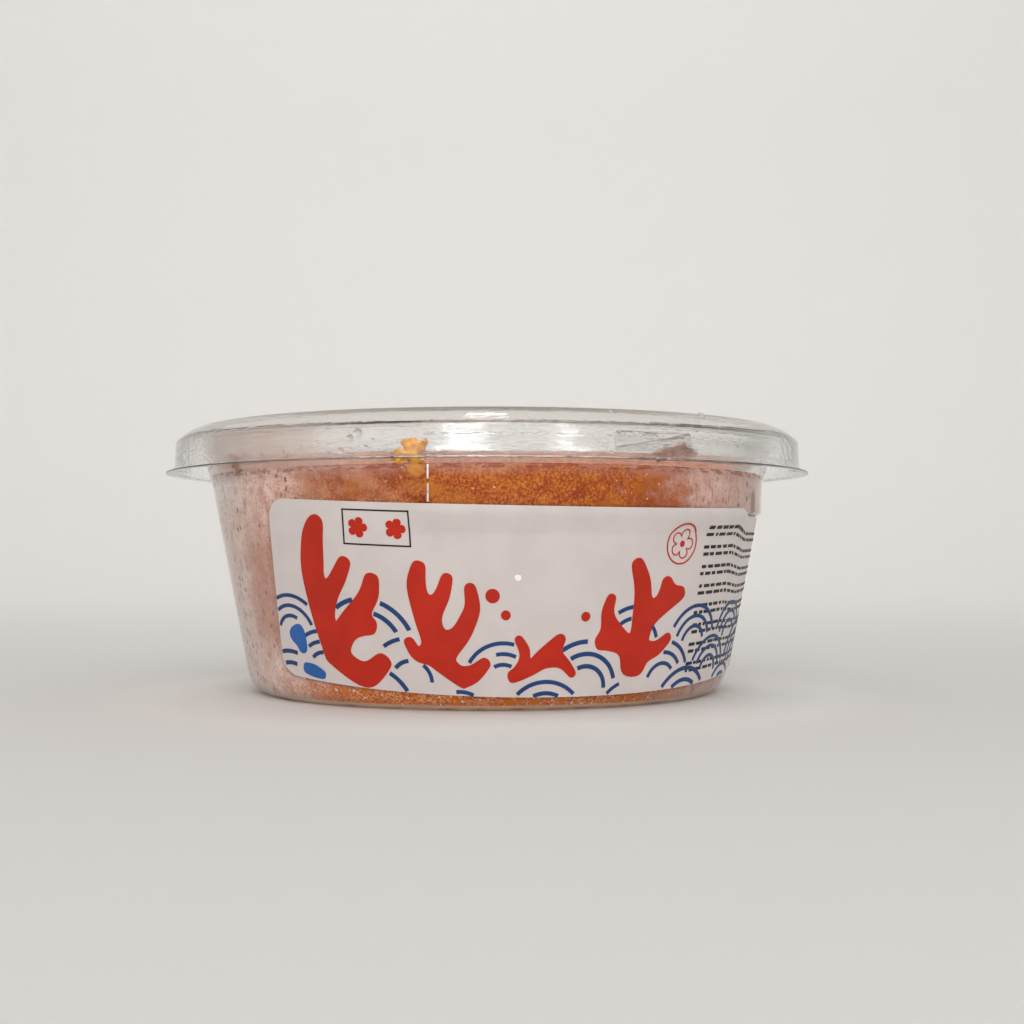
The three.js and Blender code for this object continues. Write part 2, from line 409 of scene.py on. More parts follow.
tub_clear = clear_stuff(
    "tub_clear",
    tint=lambda tree, place: blended(tree, film(tree, place), TUB_CLEAR, FILM_PINK),
    clearness=lambda tree, place: worked(tree, "MULTIPLY_ADD", film(tree, place), -0.25, 1.0),
    roughness=lambda tree, place: 0.03,
    buckling=0.2,
    ripple=0.08,
)
finish_with(tub_shell, tub_clear, "tub_clear", "tub")

# A painted highlight runs in a thin white line along the panel's left corner.
HIGHLIGHT_LINE_AZIMUTH = -10.4
HIGHLIGHT_LINE_WIDTH, HIGHLIGHT_LINE_DEPTH = 0.34, 0.2
HIGHLIGHT_LINE_PARTS = [(37.9, 41.1), (41.9, 44.5)]
HIGHLIGHT_WHITES = ((0.62, 0.55, 0.50), (0.93, 0.91, 0.88))

highlight_line_parts = []
for foot, head in HIGHLIGHT_LINE_PARTS:
    bpy.ops.object.select_all(action="DESELECT")
    bpy.ops.mesh.primitive_cube_add(size=MM)
    bpy.ops.object.mode_set(mode="EDIT")
    bpy.ops.transform.resize(value=(HIGHLIGHT_LINE_WIDTH, HIGHLIGHT_LINE_DEPTH, head - foot))
    bpy.ops.mesh.bevel(offset=0.07 * MM, segments=2)
    bpy.ops.mesh.select_all(action="SELECT")
    middle = (foot + head) / 2
    reach = PANEL_RADIUS + PANEL_LEAN * (middle - PANEL_MID_HEIGHT)
    bpy.ops.transform.translate(value=(0, -reach * MM, middle * MM))
    bpy.ops.transform.rotate(
        value=math.atan(PANEL_LEAN), orient_axis="X",
        center_override=(0, -reach * MM, middle * MM),
    )
    bpy.ops.transform.rotate(
        value=-math.radians(HIGHLIGHT_LINE_AZIMUTH), orient_axis="Z", center_override=(0, 0, 0)
    )
    bpy.ops.object.mode_set(mode="OBJECT")
    highlight_line_parts.append(bpy.context.object)


def joined(name, pieces):
    """Joins pieces into one."""
    make_active(pieces[0])
    for piece in pieces:
        piece.select_set(True)
    bpy.ops.object.join()
    pieces[0].name = name
    return pieces[0]


highlight_line = joined("tub_crease", highlight_line_parts)
bpy.ops.object.shade_smooth_by_angle(angle=math.radians(40))
# The line's material is a painted highlight, mottled from pale grey to white.
material, tree = bare_material("painted_highlight")
highlight_mottle = noise(tree, object_place(tree), 900, 3.0)
highlight_colour = graded(tree, highlight_mottle, (0.35, HIGHLIGHT_WHITES[0]), (0.6, HIGHLIGHT_WHITES[1]))
surfaced(tree, node(tree, "BsdfPrincipled", Base_Color=highlight_colour, Roughness=0.35))
finish_with(highlight_line, material, "tub_clear")


# The lid
# The lid is formed from the same clear sheet. A plug fits inside the rim, a ridge and a
# sloping shoulder pass over the flange, and a skirt hangs outside it down to a thin flat brim.
LID_WALL = 0.5
LID_UNDERSIDE = [
    (0, 46.0), (55.3, 46.0), (56.35, 46.8), (56.7, 49.7), (58.0, 51.0), (58.7, 53.1), (59.4, 53.8),
    (60.5, 53.8), (62.6, 52.9), (64.55, 51.25), (64.75, 46.0), (65.35, 45.05), (67.0, 44.95),
]
LID_ROUNDS = [
    (55.3, 46.0, 0.5), (56.35, 46.8, 0.6), (56.7, 49.7, 0.5), (58.0, 51.0, 0.5), (58.7, 53.1, 0.4),
    (59.4, 53.8, 0.35), (60.5, 53.8, 0.7), (62.6, 52.9, 1.0), (64.55, 51.25, 0.35),
    (64.75, 46.0, 0.3), (65.35, 45.05, 0.4),
]
BRIM_THINS_FROM, BRIM_MIDDLE = 66.2, 45.2
SKIRT_RINGS = (47.4, 48.4, 49.4, 50.4)
MIST_FOOT, MIST_HEAD = 46.8, 47.6
SHOULDER_FOOT, SHOULDER_FULL = 51.2, 51.8
BEAD_FOOT, BEAD_FULL = 53.85, 54.0
LID_CLEAR = (0.998, 0.997, 0.995)
# Painted shade: the clear sheet is tinted grey on the shoulder and dark brown in the bead on top.
SHOULDER_PAINTED_GREY = (0.94, 0.928, 0.91)
BEAD_PAINTED_BROWN = (0.15, 0.115, 0.09)

lid_shell = draw_chain("lid_shell", LID_UNDERSIDE)
bpy.ops.object.mode_set(mode="EDIT")
for radius, height, cut in LID_ROUNDS:
    round_corner(lid_shell, radius, height, cut, steps=5)
for height in SKIRT_RINGS:
    add_ring(height)
spin_round(lid_shell)
bpy.ops.object.mode_set(mode="OBJECT")
formed(lid_shell, LID_WALL)
bpy.ops.object.mode_set(mode="EDIT")
select_where(lid_shell, lambda place: reach_of(place) > BRIM_THINS_FROM)
bpy.ops.transform.resize(value=(1, 1, 0.5), center_override=(0, 0, BRIM_MIDDLE * MM))
bpy.ops.object.mode_set(mode="OBJECT")
bpy.ops.object.shade_smooth_by_angle(angle=math.radians(40))


def mist(tree, place):
    """Where the underside of the lid's panel is misted, from 0 to 1."""
    low = eased(tree, height_of(tree, place), MIST_HEAD * MM, MIST_FOOT * MM)
    uneven = eased(tree, noise(tree, place, 45, 4.0), 0.35, 0.6, 0.5, 1.0)
    return worked(tree, "MULTIPLY", low, uneven)


def painted_shade_tint(tree, place):
    """The sheet's tint: clear below, with painted shade that greys the shoulder and darkens the bead on
    top.
    """
    height = height_of(tree, place)
    shoulder = eased(tree, height, SHOULDER_FOOT * MM, SHOULDER_FULL * MM)
    below = blended(tree, shoulder, LID_CLEAR, SHOULDER_PAINTED_GREY)
    bead = eased(tree, height, BEAD_FOOT * MM, BEAD_FULL * MM, 0.0, 0.95)
    return blended(tree, bead, below, BEAD_PAINTED_BROWN)


lid_clear = clear_stuff(
    "lid_clear",
    tint=painted_shade_tint,
    clearness=lambda tree, place: worked(tree, "MULTIPLY_ADD", mist(tree, place), -0.02, 0.992),
    roughness=lambda tree, place: worked(tree, "MULTIPLY_ADD", mist(tree, place), 0.15, 0.02),
    buckling=0.08,
    ripple=0.85,
)
finish_with(lid_shell, lid_clear, "lid_clear", "lid")


# The roe
# Fish eggs of nearly two millimetres, packed wet against the wall and open on top under the
# lid. The body of it is one core with the eggs in relief, which reaches just into the wall.
ROE_LEVEL = 44.6
ROE_INTO_WALL = 0.28
EGG = 1.8
RELIEF = 0.18
TOP_SINK = 2.0

roe_core = copy_of(tub_face, "roe_core")
bpy.ops.object.mode_set(mode="EDIT")
bpy.ops.mesh.select_all(action="SELECT")
bpy.ops.mesh.bisect(
    plane_co=(0, 0, ROE_LEVEL * MM), plane_no=(0, 0, 1), threshold=0.001 * MM, clear_outer=True
)
bpy.ops.mesh.select_all(action="SELECT")
bpy.ops.transform.shrink_fatten(value=-ROE_INTO_WALL * MM, use_even_offset=True)
select_where(roe_core, lambda place: place.z > 3 * MM)
bpy.ops.mesh.subdivide(number_cuts=1)
select_where(roe_core, lambda place: place.z > (ROE_LEVEL - 0.1) * MM and reach_of(place) > 50)
sink = (0, 0, -TOP_SINK * MM)
for shrink in (0.985, 0.97, 0.9, 0.85, 0.8, 0.75, 0.7, 0.6, 0.5, 0.4):
    bpy.ops.mesh.extrude_region_move(TRANSFORM_OT_translate={"value": sink})
    bpy.ops.transform.resize(value=(shrink, shrink, 1), center_override=(0, 0, 0))
    sink = (0, 0, 0)
bpy.ops.mesh.merge(type="CENTER")
bpy.ops.mesh.select_all(action="SELECT")
bpy.ops.mesh.normals_make_consistent(inside=False)
bpy.ops.object.mode_set(mode="OBJECT")


def geometry_tree(name):
    """An empty geometry node tree with one geometry in and one out, and those two sockets."""
    tree = bpy.data.node_groups.new(name, "GeometryNodeTree")
    tree.interface.new_socket("Geometry", in_out="INPUT", socket_type="NodeSocketGeometry")
    tree.interface.new_socket("Geometry", in_out="OUTPUT", socket_type="NodeSocketGeometry")
    came_in = tree.nodes.new("NodeGroupInput").outputs["Geometry"]
    goes_out = tree.nodes.new("NodeGroupOutput").inputs["Geometry"]
    return tree, came_in, goes_out


def egg_cells(tree, place):
    """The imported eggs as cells: the distance from each cell's middle, in egg widths."""
    return node(tree, "TexVoronoi", Vector=place, Scale=1 / (EGG * MM), Randomness=0.85)


tree, came_in, goes_out = geometry_tree("egg_relief")
cells = egg_cells(tree, node(tree, "GeometryNodeInputPosition").outputs[0])
depth = eased(tree, cells.outputs["Distance"], 0.2, 0.6, 0.0, -RELIEF * MM)
normal = node(tree, "GeometryNodeInputNormal").outputs[0]
pressed_in = node(tree, "VectorMath", {"operation": "SCALE"}, Vector=normal, Scale=depth)
moved = node(
    tree, "GeometryNodeSetPosition", Geometry=came_in, Offset=pressed_in.outputs[0]
)
tree.links.new(moved.outputs[0], goes_out)
roe_core.modifiers.new("egg_relief", "NODES").node_group = tree
apply_modifiers(roe_core)
bpy.ops.object.shade_smooth()

# The pack is orange towards the front and pale pink away from it: partly a pink frost on the wall, partly
# painted sheen where the wall is seen at a slant. Only where an egg touches the wall does it show through
# the frost, as a dark speck.
ORANGE_AZIMUTH = 0
RED_AZIMUTH = 38
STREAKY_AZIMUTH = 50
VEIL_AZIMUTH = -38
PATCH_AZIMUTH = -51
GREY_AZIMUTHS = (-90, 92)
ORANGE = ((0.27, 0.034, 0.001), (0.485, 0.100, 0.001), (0.66, 0.25, 0.03))
FROST = ((0.70, 0.39, 0.31), (0.90, 0.60, 0.505), (0.97, 0.82, 0.75))
GRAINS = ((0.48, 0.10, 0.022), (0.76, 0.23, 0.055), (0.93, 0.50, 0.27))
BROAD_ORANGE = (0.56, 0.195, 0.008)
PAINTED_EGG_EDGE_RED = (0.32, 0.04, 0.005)
DEEP_ORANGE = (0.40, 0.07, 0.01)
PAINTED_SPARKLE = (0.86, 0.66, 0.46)
PAINTED_LIMB_SHEEN = (0.88, 0.735, 0.67)
BARE_WALL = (0.96, 0.91, 0.875)
DARK_FROST = (0.56, 0.34, 0.28)
BLUSH = (0.42, 0.15, 0.09)
FLECK = (0.42, 0.17, 0.11)
SPECK = (0.20, 0.06, 0.03)
VEIL = (0.66, 0.34, 0.235)
STREAK_RED = (0.38, 0.11, 0.07)
PATCH_RED = (0.56, 0.235, 0.155)
BERRY = (0.78, 0.20, 0.004)
PAINTED_GLINT = (0.96, 0.93, 0.88)
FOOT_CREAM = (0.99, 0.76, 0.56)
FOOT_RED = (0.56, 0.18, 0.07)
BAND_PINK = (0.50, 0.30, 0.25)
DASH_RED = (0.30, 0.05, 0.03)
OCHRE = (0.68, 0.30, 0.05)
BROWN = (0.30, 0.075, 0.025)
PAINTED_GRAZING_SHADE = (0.36, 0.20, 0.14)
TOP_PINK = (0.56, 0.33, 0.26)
SPECK_PITCH, SPECK_RADIUS, SPECK_SQUEEZE = 2.0, 0.34, 0.68
OCHRE_SPOT = (-11.7 * MM, 44.1 * MM, 0)
STREAK_SQUEEZE = 0.55
FOOT_LINE, PALE_FOOT, STRIP = (0.75, 0.95), (1.1, 1.5), (3.4, 5.5)
PATCH_FOOT, PATCH_HEAD = (8, 15), (36, 29)
BARE_FOOT, BAND_FOOT, DASHES_FOOT = (36, 41), (41.8, 44.2), (43.5, 44.0)
BROWN_STREAK = (64.2 * MM, STREAK_SQUEEZE * 39.0 * MM, 0)


def unrolled(tree, place):
    """A place on the wall laid out flat, as its length round the wall and its height."""
    parts = node(tree, "SeparateXYZ", Vector=place)
    backwards = worked(tree, "MULTIPLY", parts.outputs["Y"], -1.0)
    angle = worked(tree, "ARCTAN2", parts.outputs["X"], backwards)
    around = worked(tree, "MULTIPLY", angle, 55 * MM)
    return node(tree, "CombineXYZ", X=around, Y=parts.outputs["Z"]).outputs[0]


def over_span(tree, height, span, to_low=0.0, to_high=1.0):
    """A share that goes from to_low to to_high over a span of the height."""
    return eased(tree, height, span[0] * MM, span[1] * MM, to_low, to_high)


def both(tree, first, second):
    """The product of two values."""
    return worked(tree, "MULTIPLY", first, second)


def dotted(tree, base, flat, colour, pitch, radius, shift, rarest, commonest, most):
    """A colour with round dots about a pitch apart on the unrolled wall. Each dot has a random
    number, and shows only where that is high: faintly from rarest, and fully from commonest."""
    moved = node(
        tree, "VectorMath", {"operation": "ADD"}, Vector=flat, Vector_001=(shift, 0, 0)
    ).outputs[0]
    spots = node(
        tree, "TexVoronoi", {"voronoi_dimensions": "2D"}, Vector=moved, Scale=1 / (pitch * MM)
    )
    edge = radius / pitch
    dot = eased(tree, spots.outputs["Distance"], edge * 0.6, edge * 1.4, 1.0, 0.0)
    chance = node(tree, "SeparateColor", Color=spots.outputs["Color"]).outputs["Red"]
    shown = both(tree, dot, eased(tree, chance, rarest, commonest, 0.0, most))
    return blended(tree, shown, base, colour)


def stained(tree, base, flat, colour, spot, near, far, most):
    """A colour with one stain on the unrolled wall, which fades out between near and far."""
    away = node(tree, "VectorMath", {"operation": "DISTANCE"}, Vector=flat, Vector_001=spot)
    share = eased(tree, away.outputs["Value"], near * MM, far * MM, most, 0.0)
    return blended(tree, share, base, colour)


def warped(tree, flat, place, amount):
    """An unrolled place pushed about a little, which makes round dots ragged."""
    push = node(tree, "TexNoise", Vector=place, Scale=1300.0, Detail=1.0).outputs["Color"]
    pushed = node(
        tree, "VectorMath", {"operation": "MULTIPLY_ADD"},
        Vector=push, Vector_001=(amount * MM, amount * MM, 0), Vector_002=flat,
    )
    return pushed.outputs[0]


material, tree = bare_material("roe_packed")
place = object_place(tree)
flat = unrolled(tree, place)
ragged = warped(tree, flat, place, 0.7)
height = height_of(tree, place)
front = towards(tree, place, ORANGE_AZIMUTH)
cells = egg_cells(tree, place)
clouds = noise(tree, place, 100, 3.0)
patches = noise(tree, scaled(tree, place, (1, 1, 1.6)), 230, 3.0)
fine = noise(tree, place, 2100, 3.0, 0.65)

# The orange eggs
mottle = worked(tree, "ADD", both(tree, fine, 0.7), both(tree, patches, 0.3))
orange = graded(tree, mottle, (0.40, ORANGE[0]), (0.5, ORANGE[1]), (0.60, ORANGE[2]))
broad = noise(tree, scaled(tree, place, (1, 1, 2)), 120, 2.0)
orange = blended(tree, eased(tree, broad, 0.5, 0.66, 0.0, 0.6), orange, BROAD_ORANGE)
# Painted shade: each egg darkens towards red at its edge, where it meets the next.
seam = eased(tree, cells.outputs["Distance"], 0.3, 0.65, 0.0, 0.12)
orange = blended(tree, seam, orange, PAINTED_EGG_EDGE_RED)
redder = on_side(tree, place, RED_AZIMUTH, 0.975, 0.997, 0.6)
orange = blended(tree, redder, orange, DEEP_ORANGE)
# Painted highlights: a few small pale sparkles dotted on the orange eggs.
orange = dotted(tree, orange, ragged, PAINTED_SPARKLE, 3.1, 0.15, 0.11, 0.7, 0.8, 0.7)

# The frosted eggs
grainy = worked(tree, "ADD", both(tree, fine, 0.5), both(tree, noise(tree, place, 330, 4.0), 0.5))
frost = graded(tree, grainy, (0.40, FROST[0]), (0.5, FROST[1]), (0.60, FROST[2]))
# Painted sheen: the frost turns paler and greyer towards both sides, about a quarter turn from the front.
for azimuth in GREY_AZIMUTHS:
    limb_sheen = on_side(tree, place, azimuth, 0.66, 0.98, 0.7)
    frost = blended(tree, limb_sheen, frost, PAINTED_LIMB_SHEEN)
high = both(
    tree, over_span(tree, height, BARE_FOOT), on_side(tree, place, GREY_AZIMUTHS[0], 0.78, 0.92, 0.7)
)
frost = blended(tree, high, frost, BARE_WALL)
darker = on_side(tree, place, STREAKY_AZIMUTH, 0.85, 0.98, 0.5)
frost = blended(tree, darker, frost, DARK_FROST)
frost = dotted(tree, frost, ragged, BLUSH, 3.4, 0.8, 0.29, 0.4, 0.6, 0.3)
frost = dotted(tree, frost, ragged, FLECK, 1.15, 0.2, 0.53, 0.35, 0.6, 0.55)
nearly_round = scaled(tree, warped(tree, flat, place, 0.3), (1, SPECK_SQUEEZE, 1))
gathered = eased(tree, noise(tree, place, 130, 1.0), 0.42, 0.56, 0.19, 0.95)
frost = dotted(
    tree, frost, nearly_round, SPECK, SPECK_PITCH, SPECK_RADIUS, 0.0, 0.2, 0.75, gathered
)

drift = worked(tree, "ADD", both(tree, clouds, 0.3), both(tree, patches, 0.2))
drifted = worked(tree, "ADD", front, worked(tree, "SUBTRACT", drift, 0.25))
behind = worked(tree, "SUBTRACT", drift, worked(tree, "ADD", front, 0.3))
# Orange towards the front, and frost with painted sheen away from it.
orange_share = eased(tree, worked(tree, "MAXIMUM", drifted, behind), 0.70, 0.87)
veil = both(
    tree, on_side(tree, place, VEIL_AZIMUTH, 0.88, 0.99),
    eased(tree, patches, 0.35, 0.6, 0.15, 0.6),
)
orange = blended(tree, veil, orange, VEIL)
packed = blended(tree, orange_share, frost, orange)

streaks = noise(tree, scaled(tree, flat, (1, 0.4, 1)), 1000, 2.0)
streaky = both(
    tree, on_side(tree, place, STREAKY_AZIMUTH, 0.965, 0.99),
    eased(tree, streaks, 0.56, 0.66, 0.0, 0.5),
)
packed = blended(tree, streaky, packed, STREAK_RED)

ragged_edge = worked(tree, "MULTIPLY_ADD", drift, 0.05, -0.0125)
beside = worked(tree, "ADD", towards(tree, place, PATCH_AZIMUTH), ragged_edge)
middle = both(tree, over_span(tree, height, PATCH_FOOT), over_span(tree, height, PATCH_HEAD))
share = both(tree, both(tree, eased(tree, beside, 0.984, 0.997), middle), 0.6)
packed = blended(tree, share, packed, PATCH_RED)

# The pale foot, and above it a strip of berries and grains with painted glints
low = both(tree, over_span(tree, height, STRIP, 1.0, 0.0), eased(tree, front, 0.55, 0.95))
grains = graded(tree, fine, (0.38, GRAINS[0]), (0.5, GRAINS[1]), (0.62, GRAINS[2]))
grains = dotted(tree, grains, ragged, BERRY, 2.7, 0.85, 0.0, 0.45, 0.55, 0.9)
# Painted highlights: small near-white glints dotted on the grains.
grains = dotted(tree, grains, ragged, PAINTED_GLINT, 2.1, 0.22, 0.37, 0.6, 0.7, 1.0)
packed = blended(tree, low, packed, grains)
packed = blended(tree, over_span(tree, height, PALE_FOOT, 0.85, 0.0), packed, FOOT_CREAM)
foot_line = both(
    tree, over_span(tree, height, FOOT_LINE, 1.0, 0.0),
    eased(tree, noise(tree, place, 260, 3.0), 0.42, 0.6, 0.15, 0.8),
)
packed = blended(tree, foot_line, packed, FOOT_RED)

# The pinker band and the dark dashes along the top edge
top_band = both(tree, over_span(tree, height, BAND_FOOT, 0.0, 0.6), eased(tree, clouds, 0.3, 0.6, 0.3, 1.0))
packed = blended(tree, top_band, packed, BAND_PINK)
dashes = noise(tree, scaled(tree, place, (1, 1, 2.5)), 420, 2.0)
edge_line = both(tree, over_span(tree, height, DASHES_FOOT), eased(tree, dashes, 0.48, 0.54, 0.0, 0.75))
packed = blended(tree, edge_line, packed, DASH_RED)
packed = stained(tree, packed, ragged, OCHRE, OCHRE_SPOT, 0.9, 1.9, 0.85)
# Painted shade: the pack turns brown where its surface is seen edge-on.
grazing_view = node(tree, "LayerWeight", Blend=0.5).outputs["Facing"]
packed = blended(tree, eased(tree, grazing_view, 0.84, 0.98, 0.0, 0.65), packed, PAINTED_GRAZING_SHADE)
tall = scaled(tree, ragged, (1, STREAK_SQUEEZE, 1))
packed = stained(tree, packed, tall, BROWN, BROWN_STREAK, 1.0, 2.3, 0.95)
facing = node(tree, "NewGeometry").outputs["Normal"]
upward = node(tree, "SeparateXYZ", Vector=facing).outputs["Z"]
open_top = blended(tree, 0.75, orange, TOP_PINK)
packed = blended(tree, eased(tree, upward, 0.4, 0.8), packed, open_top)
grain = node(tree, "Bump", Strength=0.4, Distance=0.12 * MM, Height=fine)
surface = node(
    tree, "BsdfPrincipled", Base_Color=packed, Roughness=0.55, Specular_IOR_Level=0.05,
    Normal=grain.outputs["Normal"],
)
surfaced(tree, surface)
finish_with(roe_core, material, "roe", "roe")
bpy.data.objects.remove(tub_face)

# The eggs on top lie loose on the core, one beside the other, some higher and some lower.
EGG_PITCH = 1.36
EGG_RADIUS = 0.9
TOP_RADIUS = 55.4
TOP_HEIGHT = 43.2
TOP_SWELL = 1.1
LOOSE_ORANGE = ((0.56, 0.085, 0.006), (0.80, 0.19, 0.010), (0.90, 0.36, 0.045))
LOOSE_FROST = (0.54, 0.36, 0.31)
FROSTED_FROM, FROSTED_TO = 50.0, 53.5

bpy.ops.object.select_all(action="DESELECT")
bpy.ops.mesh.primitive_uv_sphere_add(segments=7, ring_count=5, radius=EGG_RADIUS * MM)
one_egg = bpy.context.object
bpy.ops.object.shade_smooth()
bpy.ops.object.select_all(action="DESELECT")
bpy.ops.mesh.primitive_circle_add(
    vertices=96, radius=TOP_RADIUS * MM, fill_type="TRIFAN", location=(0, 0, TOP_HEIGHT * MM)
)
top_eggs = bpy.context.object
top_eggs.name = "roe_top_eggs"
bpy.ops.object.transform_apply(location=True)


def from_axis(tree, place):
    """How far a place is from the tub's axis."""
    level = scaled(tree, place, (1, 1, 0))
    return node(tree, "VectorMath", {"operation": "LENGTH"}, Vector=level).outputs["Value"]


tree, came_in, goes_out = geometry_tree("egg_scatter")
points = node(
    tree, "GeometryNodeDistributePointsOnFaces", {"distribute_method": "POISSON"},
    Mesh=came_in, Distance_Min=EGG_PITCH * MM, Density_Max=2e6, Seed=7,
).outputs["Points"]
spot = node(tree, "GeometryNodeInputPosition").outputs[0]
swell = eased(tree, from_axis(tree, spot), 0, TOP_RADIUS * MM, TOP_SWELL * MM, 0.0)
waves = worked(tree, "MULTIPLY_ADD", noise(tree, spot, 60, 2.0), 1.6 * MM, -0.8 * MM)
jitter = node(
    tree, "FunctionNodeRandomValue", Min_001=-0.3 * MM, Max_001=0.3 * MM, Seed=3
).outputs[1]
lift = worked(tree, "ADD", worked(tree, "ADD", swell, waves), jitter)
upwards = node(tree, "CombineXYZ", Z=lift).outputs[0]
raised = node(tree, "GeometryNodeSetPosition", Geometry=points, Offset=upwards)
egg_shape = node(tree, "GeometryNodeObjectInfo", Object=one_egg).outputs["Geometry"]
size = node(tree, "FunctionNodeRandomValue", Min_001=0.86, Max_001=1.1, Seed=5).outputs[1]
turn = node(
    tree, "FunctionNodeRandomValue", {"data_type": "FLOAT_VECTOR"}, Max=(3.1, 3.1, 3.1), Seed=9
).outputs[0]
laid = node(
    tree, "GeometryNodeInstanceOnPoints",
    Points=raised.outputs[0], Instance=egg_shape, Rotation=turn, Scale=size,
)
any_tone = node(tree, "FunctionNodeRandomValue", Seed=11).outputs[1]
toned = node(
    tree, "GeometryNodeStoreNamedAttribute", {"data_type": "FLOAT", "domain": "INSTANCE"},
    Geometry=laid.outputs[0], Name="tone", Value=any_tone,
)
real = node(tree, "GeometryNodeRealizeInstances", Geometry=toned.outputs[0])
tree.links.new(real.outputs[0], goes_out)
top_eggs.modifiers.new("egg_scatter", "NODES").node_group = tree
apply_modifiers(top_eggs)
bpy.data.objects.remove(one_egg)

material, tree = bare_material("roe_loose")
place = object_place(tree)
tone = node(tree, "Attribute", {"attribute_name": "tone"}).outputs["Fac"]
cloudy = worked(tree, "MULTIPLY_ADD", noise(tree, place, 60, 3.0), 0.9, -0.45)
mixed_tone = worked(tree, "ADD", worked(tree, "MULTIPLY_ADD", tone, 0.5, 0.25), cloudy)
colour = graded(
    tree, mixed_tone, (0.2, LOOSE_ORANGE[0]), (0.5, LOOSE_ORANGE[1]), (0.8, LOOSE_ORANGE[2])
)
frosted = eased(tree, from_axis(tree, place), FROSTED_FROM * MM, FROSTED_TO * MM, 0.0, 0.85)
colour = blended(tree, frosted, colour, LOOSE_FROST)
skin = node(
    tree, "BsdfPrincipled", Base_Color=colour, Roughness=0.28, Coat_Weight=0.6, Coat_Roughness=0.12,
    Subsurface_Weight=0.35, Subsurface_Radius=(1.0, 0.4, 0.15), Subsurface_Scale=1.2 * MM, IOR=1.38,
)
surfaced(tree, skin)
finish_with(top_eggs, material, "roe", "roe")


# The label
# One strip of glossy white paper with round corners, stuck round the front and one side. It
# bridges the ledge of the panel like a tent, so its top edge stands off the wall there.
LABEL_START, LABEL_END = -43.1, 99.0
LABEL_FOOT, LABEL_HEAD = 2.8, 37.05
FOOT_LOWEST, FOOT_SAG, HEAD_LOWEST, HEAD_SAG = 17, 0.00075, 24, 0.00045
LABEL_CORNER = 4.0
LABEL_OFF_WALL = 0.15
LABEL_THICKNESS = 0.18
LABEL_WHITE = (0.80, 0.73, 0.71)
AROUND_PER_DEGREE = 0.942
TENT_FOOT, TENT_TOP = 32.5, 36.3
EXTRA_CUTS = [31.9, 35.6, 36.2]
SPREAD_FROM, SPREAD_TO, SPREAD = 15, 45, 0.11
TUCKED, TUCKED_HEAD = (59, 66), 36.1
WALL_LEAN = 0.19
WALL_TOP, WALL_TOP_RADIUS = 44.0, 57.88


def ramp(value, low, high):
    """0 up to low, 1 from high, and a straight line between."""
    return min(max((value - low) / (high - low), 0), 1)


def on_wall(around, up, lift):
    """The place on the wall for millimetres round it and up it, off the wall by a lift."""
    azimuth = around / AROUND_PER_DEGREE
    azimuth -= SPREAD * (LABEL_HEAD - up) * ramp(-azimuth, SPREAD_FROM, SPREAD_TO)
    foot = LABEL_FOOT + FOOT_SAG * (azimuth - FOOT_LOWEST) ** 2
    head = LABEL_HEAD + HEAD_SAG * (azimuth - HEAD_LOWEST) ** 2
    tucked = ramp(azimuth, *TUCKED)
    head += tucked * (TUCKED_HEAD - head)
    level = foot + (up - LABEL_FOOT) / (LABEL_HEAD - LABEL_FOOT) * (head - foot)
    wall = WALL_TOP_RADIUS - WALL_LEAN * (WALL_TOP - level)
    side = (1 - ramp(PANEL_MIDDLE - PANEL_HALF - azimuth, 0, 6)) * (1 - tucked)
    tent = ramp(level, TENT_FOOT, TENT_TOP) * side * max(PANEL_RADIUS - wall, 0)
    radius = wall + tent + LABEL_OFF_WALL + lift
    angle = math.radians(azimuth)
    return Vector((radius * math.sin(angle), -radius * math.cos(angle), level)) * MM


def wrap_round(piece, place_on, lift, thickness, across=1.5, along=2.5):
    """Cuts a flat piece into small facets, bends it round a wall, and thickens it outwards."""
    make_active(piece, "EDIT")
    bpy.ops.mesh.select_all(action="SELECT")
    bpy.ops.mesh.quads_convert_to_tris()
    reach = [vertex.co.x / MM for vertex in bmesh.from_edit_mesh(piece.data).verts]
    first, last = int(min(reach) / across), int(max(reach) / across)
    cuts = [((step * across * MM, 0, 0), (1, 0, 0)) for step in range(first, last + 1)]
    heights = [step * along for step in range(1, 15)] + EXTRA_CUTS
    cuts += [((0, height * MM, 0), (0, 1, 0)) for height in heights]
    for where, square_to in cuts:
        bpy.ops.mesh.select_all(action="SELECT")
        bpy.ops.mesh.bisect(plane_co=where, plane_no=square_to, threshold=0.001 * MM)
    bpy.ops.object.mode_set(mode="OBJECT")
    for vertex in piece.data.vertices:
        vertex.co = place_on(vertex.co.x / MM, vertex.co.y / MM, lift)
    sheet = piece.modifiers.new("sheet", "SOLIDIFY")
    sheet.thickness = thickness * MM
    sheet.offset = 1
    apply_modifiers(piece)


def draw_rectangle(name, start, end, foot, head):
    """A flat rectangle, left in edit mode, between two places round and two heights."""
    bpy.ops.object.select_all(action="DESELECT")
    bpy.ops.mesh.primitive_plane_add(size=MM)
    rectangle = bpy.context.object
    rectangle.name = name
    bpy.ops.object.mode_set(mode="EDIT")
    bpy.ops.transform.resize(value=(end - start, head - foot, 1))
    bpy.ops.transform.translate(value=((start + end) / 2 * MM, (foot + head) / 2 * MM, 0))
    return rectangle


label = draw_rectangle("label_sheet", LABEL_START, LABEL_END, LABEL_FOOT, LABEL_HEAD)
bpy.ops.mesh.bevel(offset=LABEL_CORNER * MM, segments=8, affect="VERTICES")
bpy.ops.object.mode_set(mode="OBJECT")
wrap_round(label, on_wall, 0, LABEL_THICKNESS)
bpy.ops.object.shade_smooth_by_angle(angle=math.radians(35))


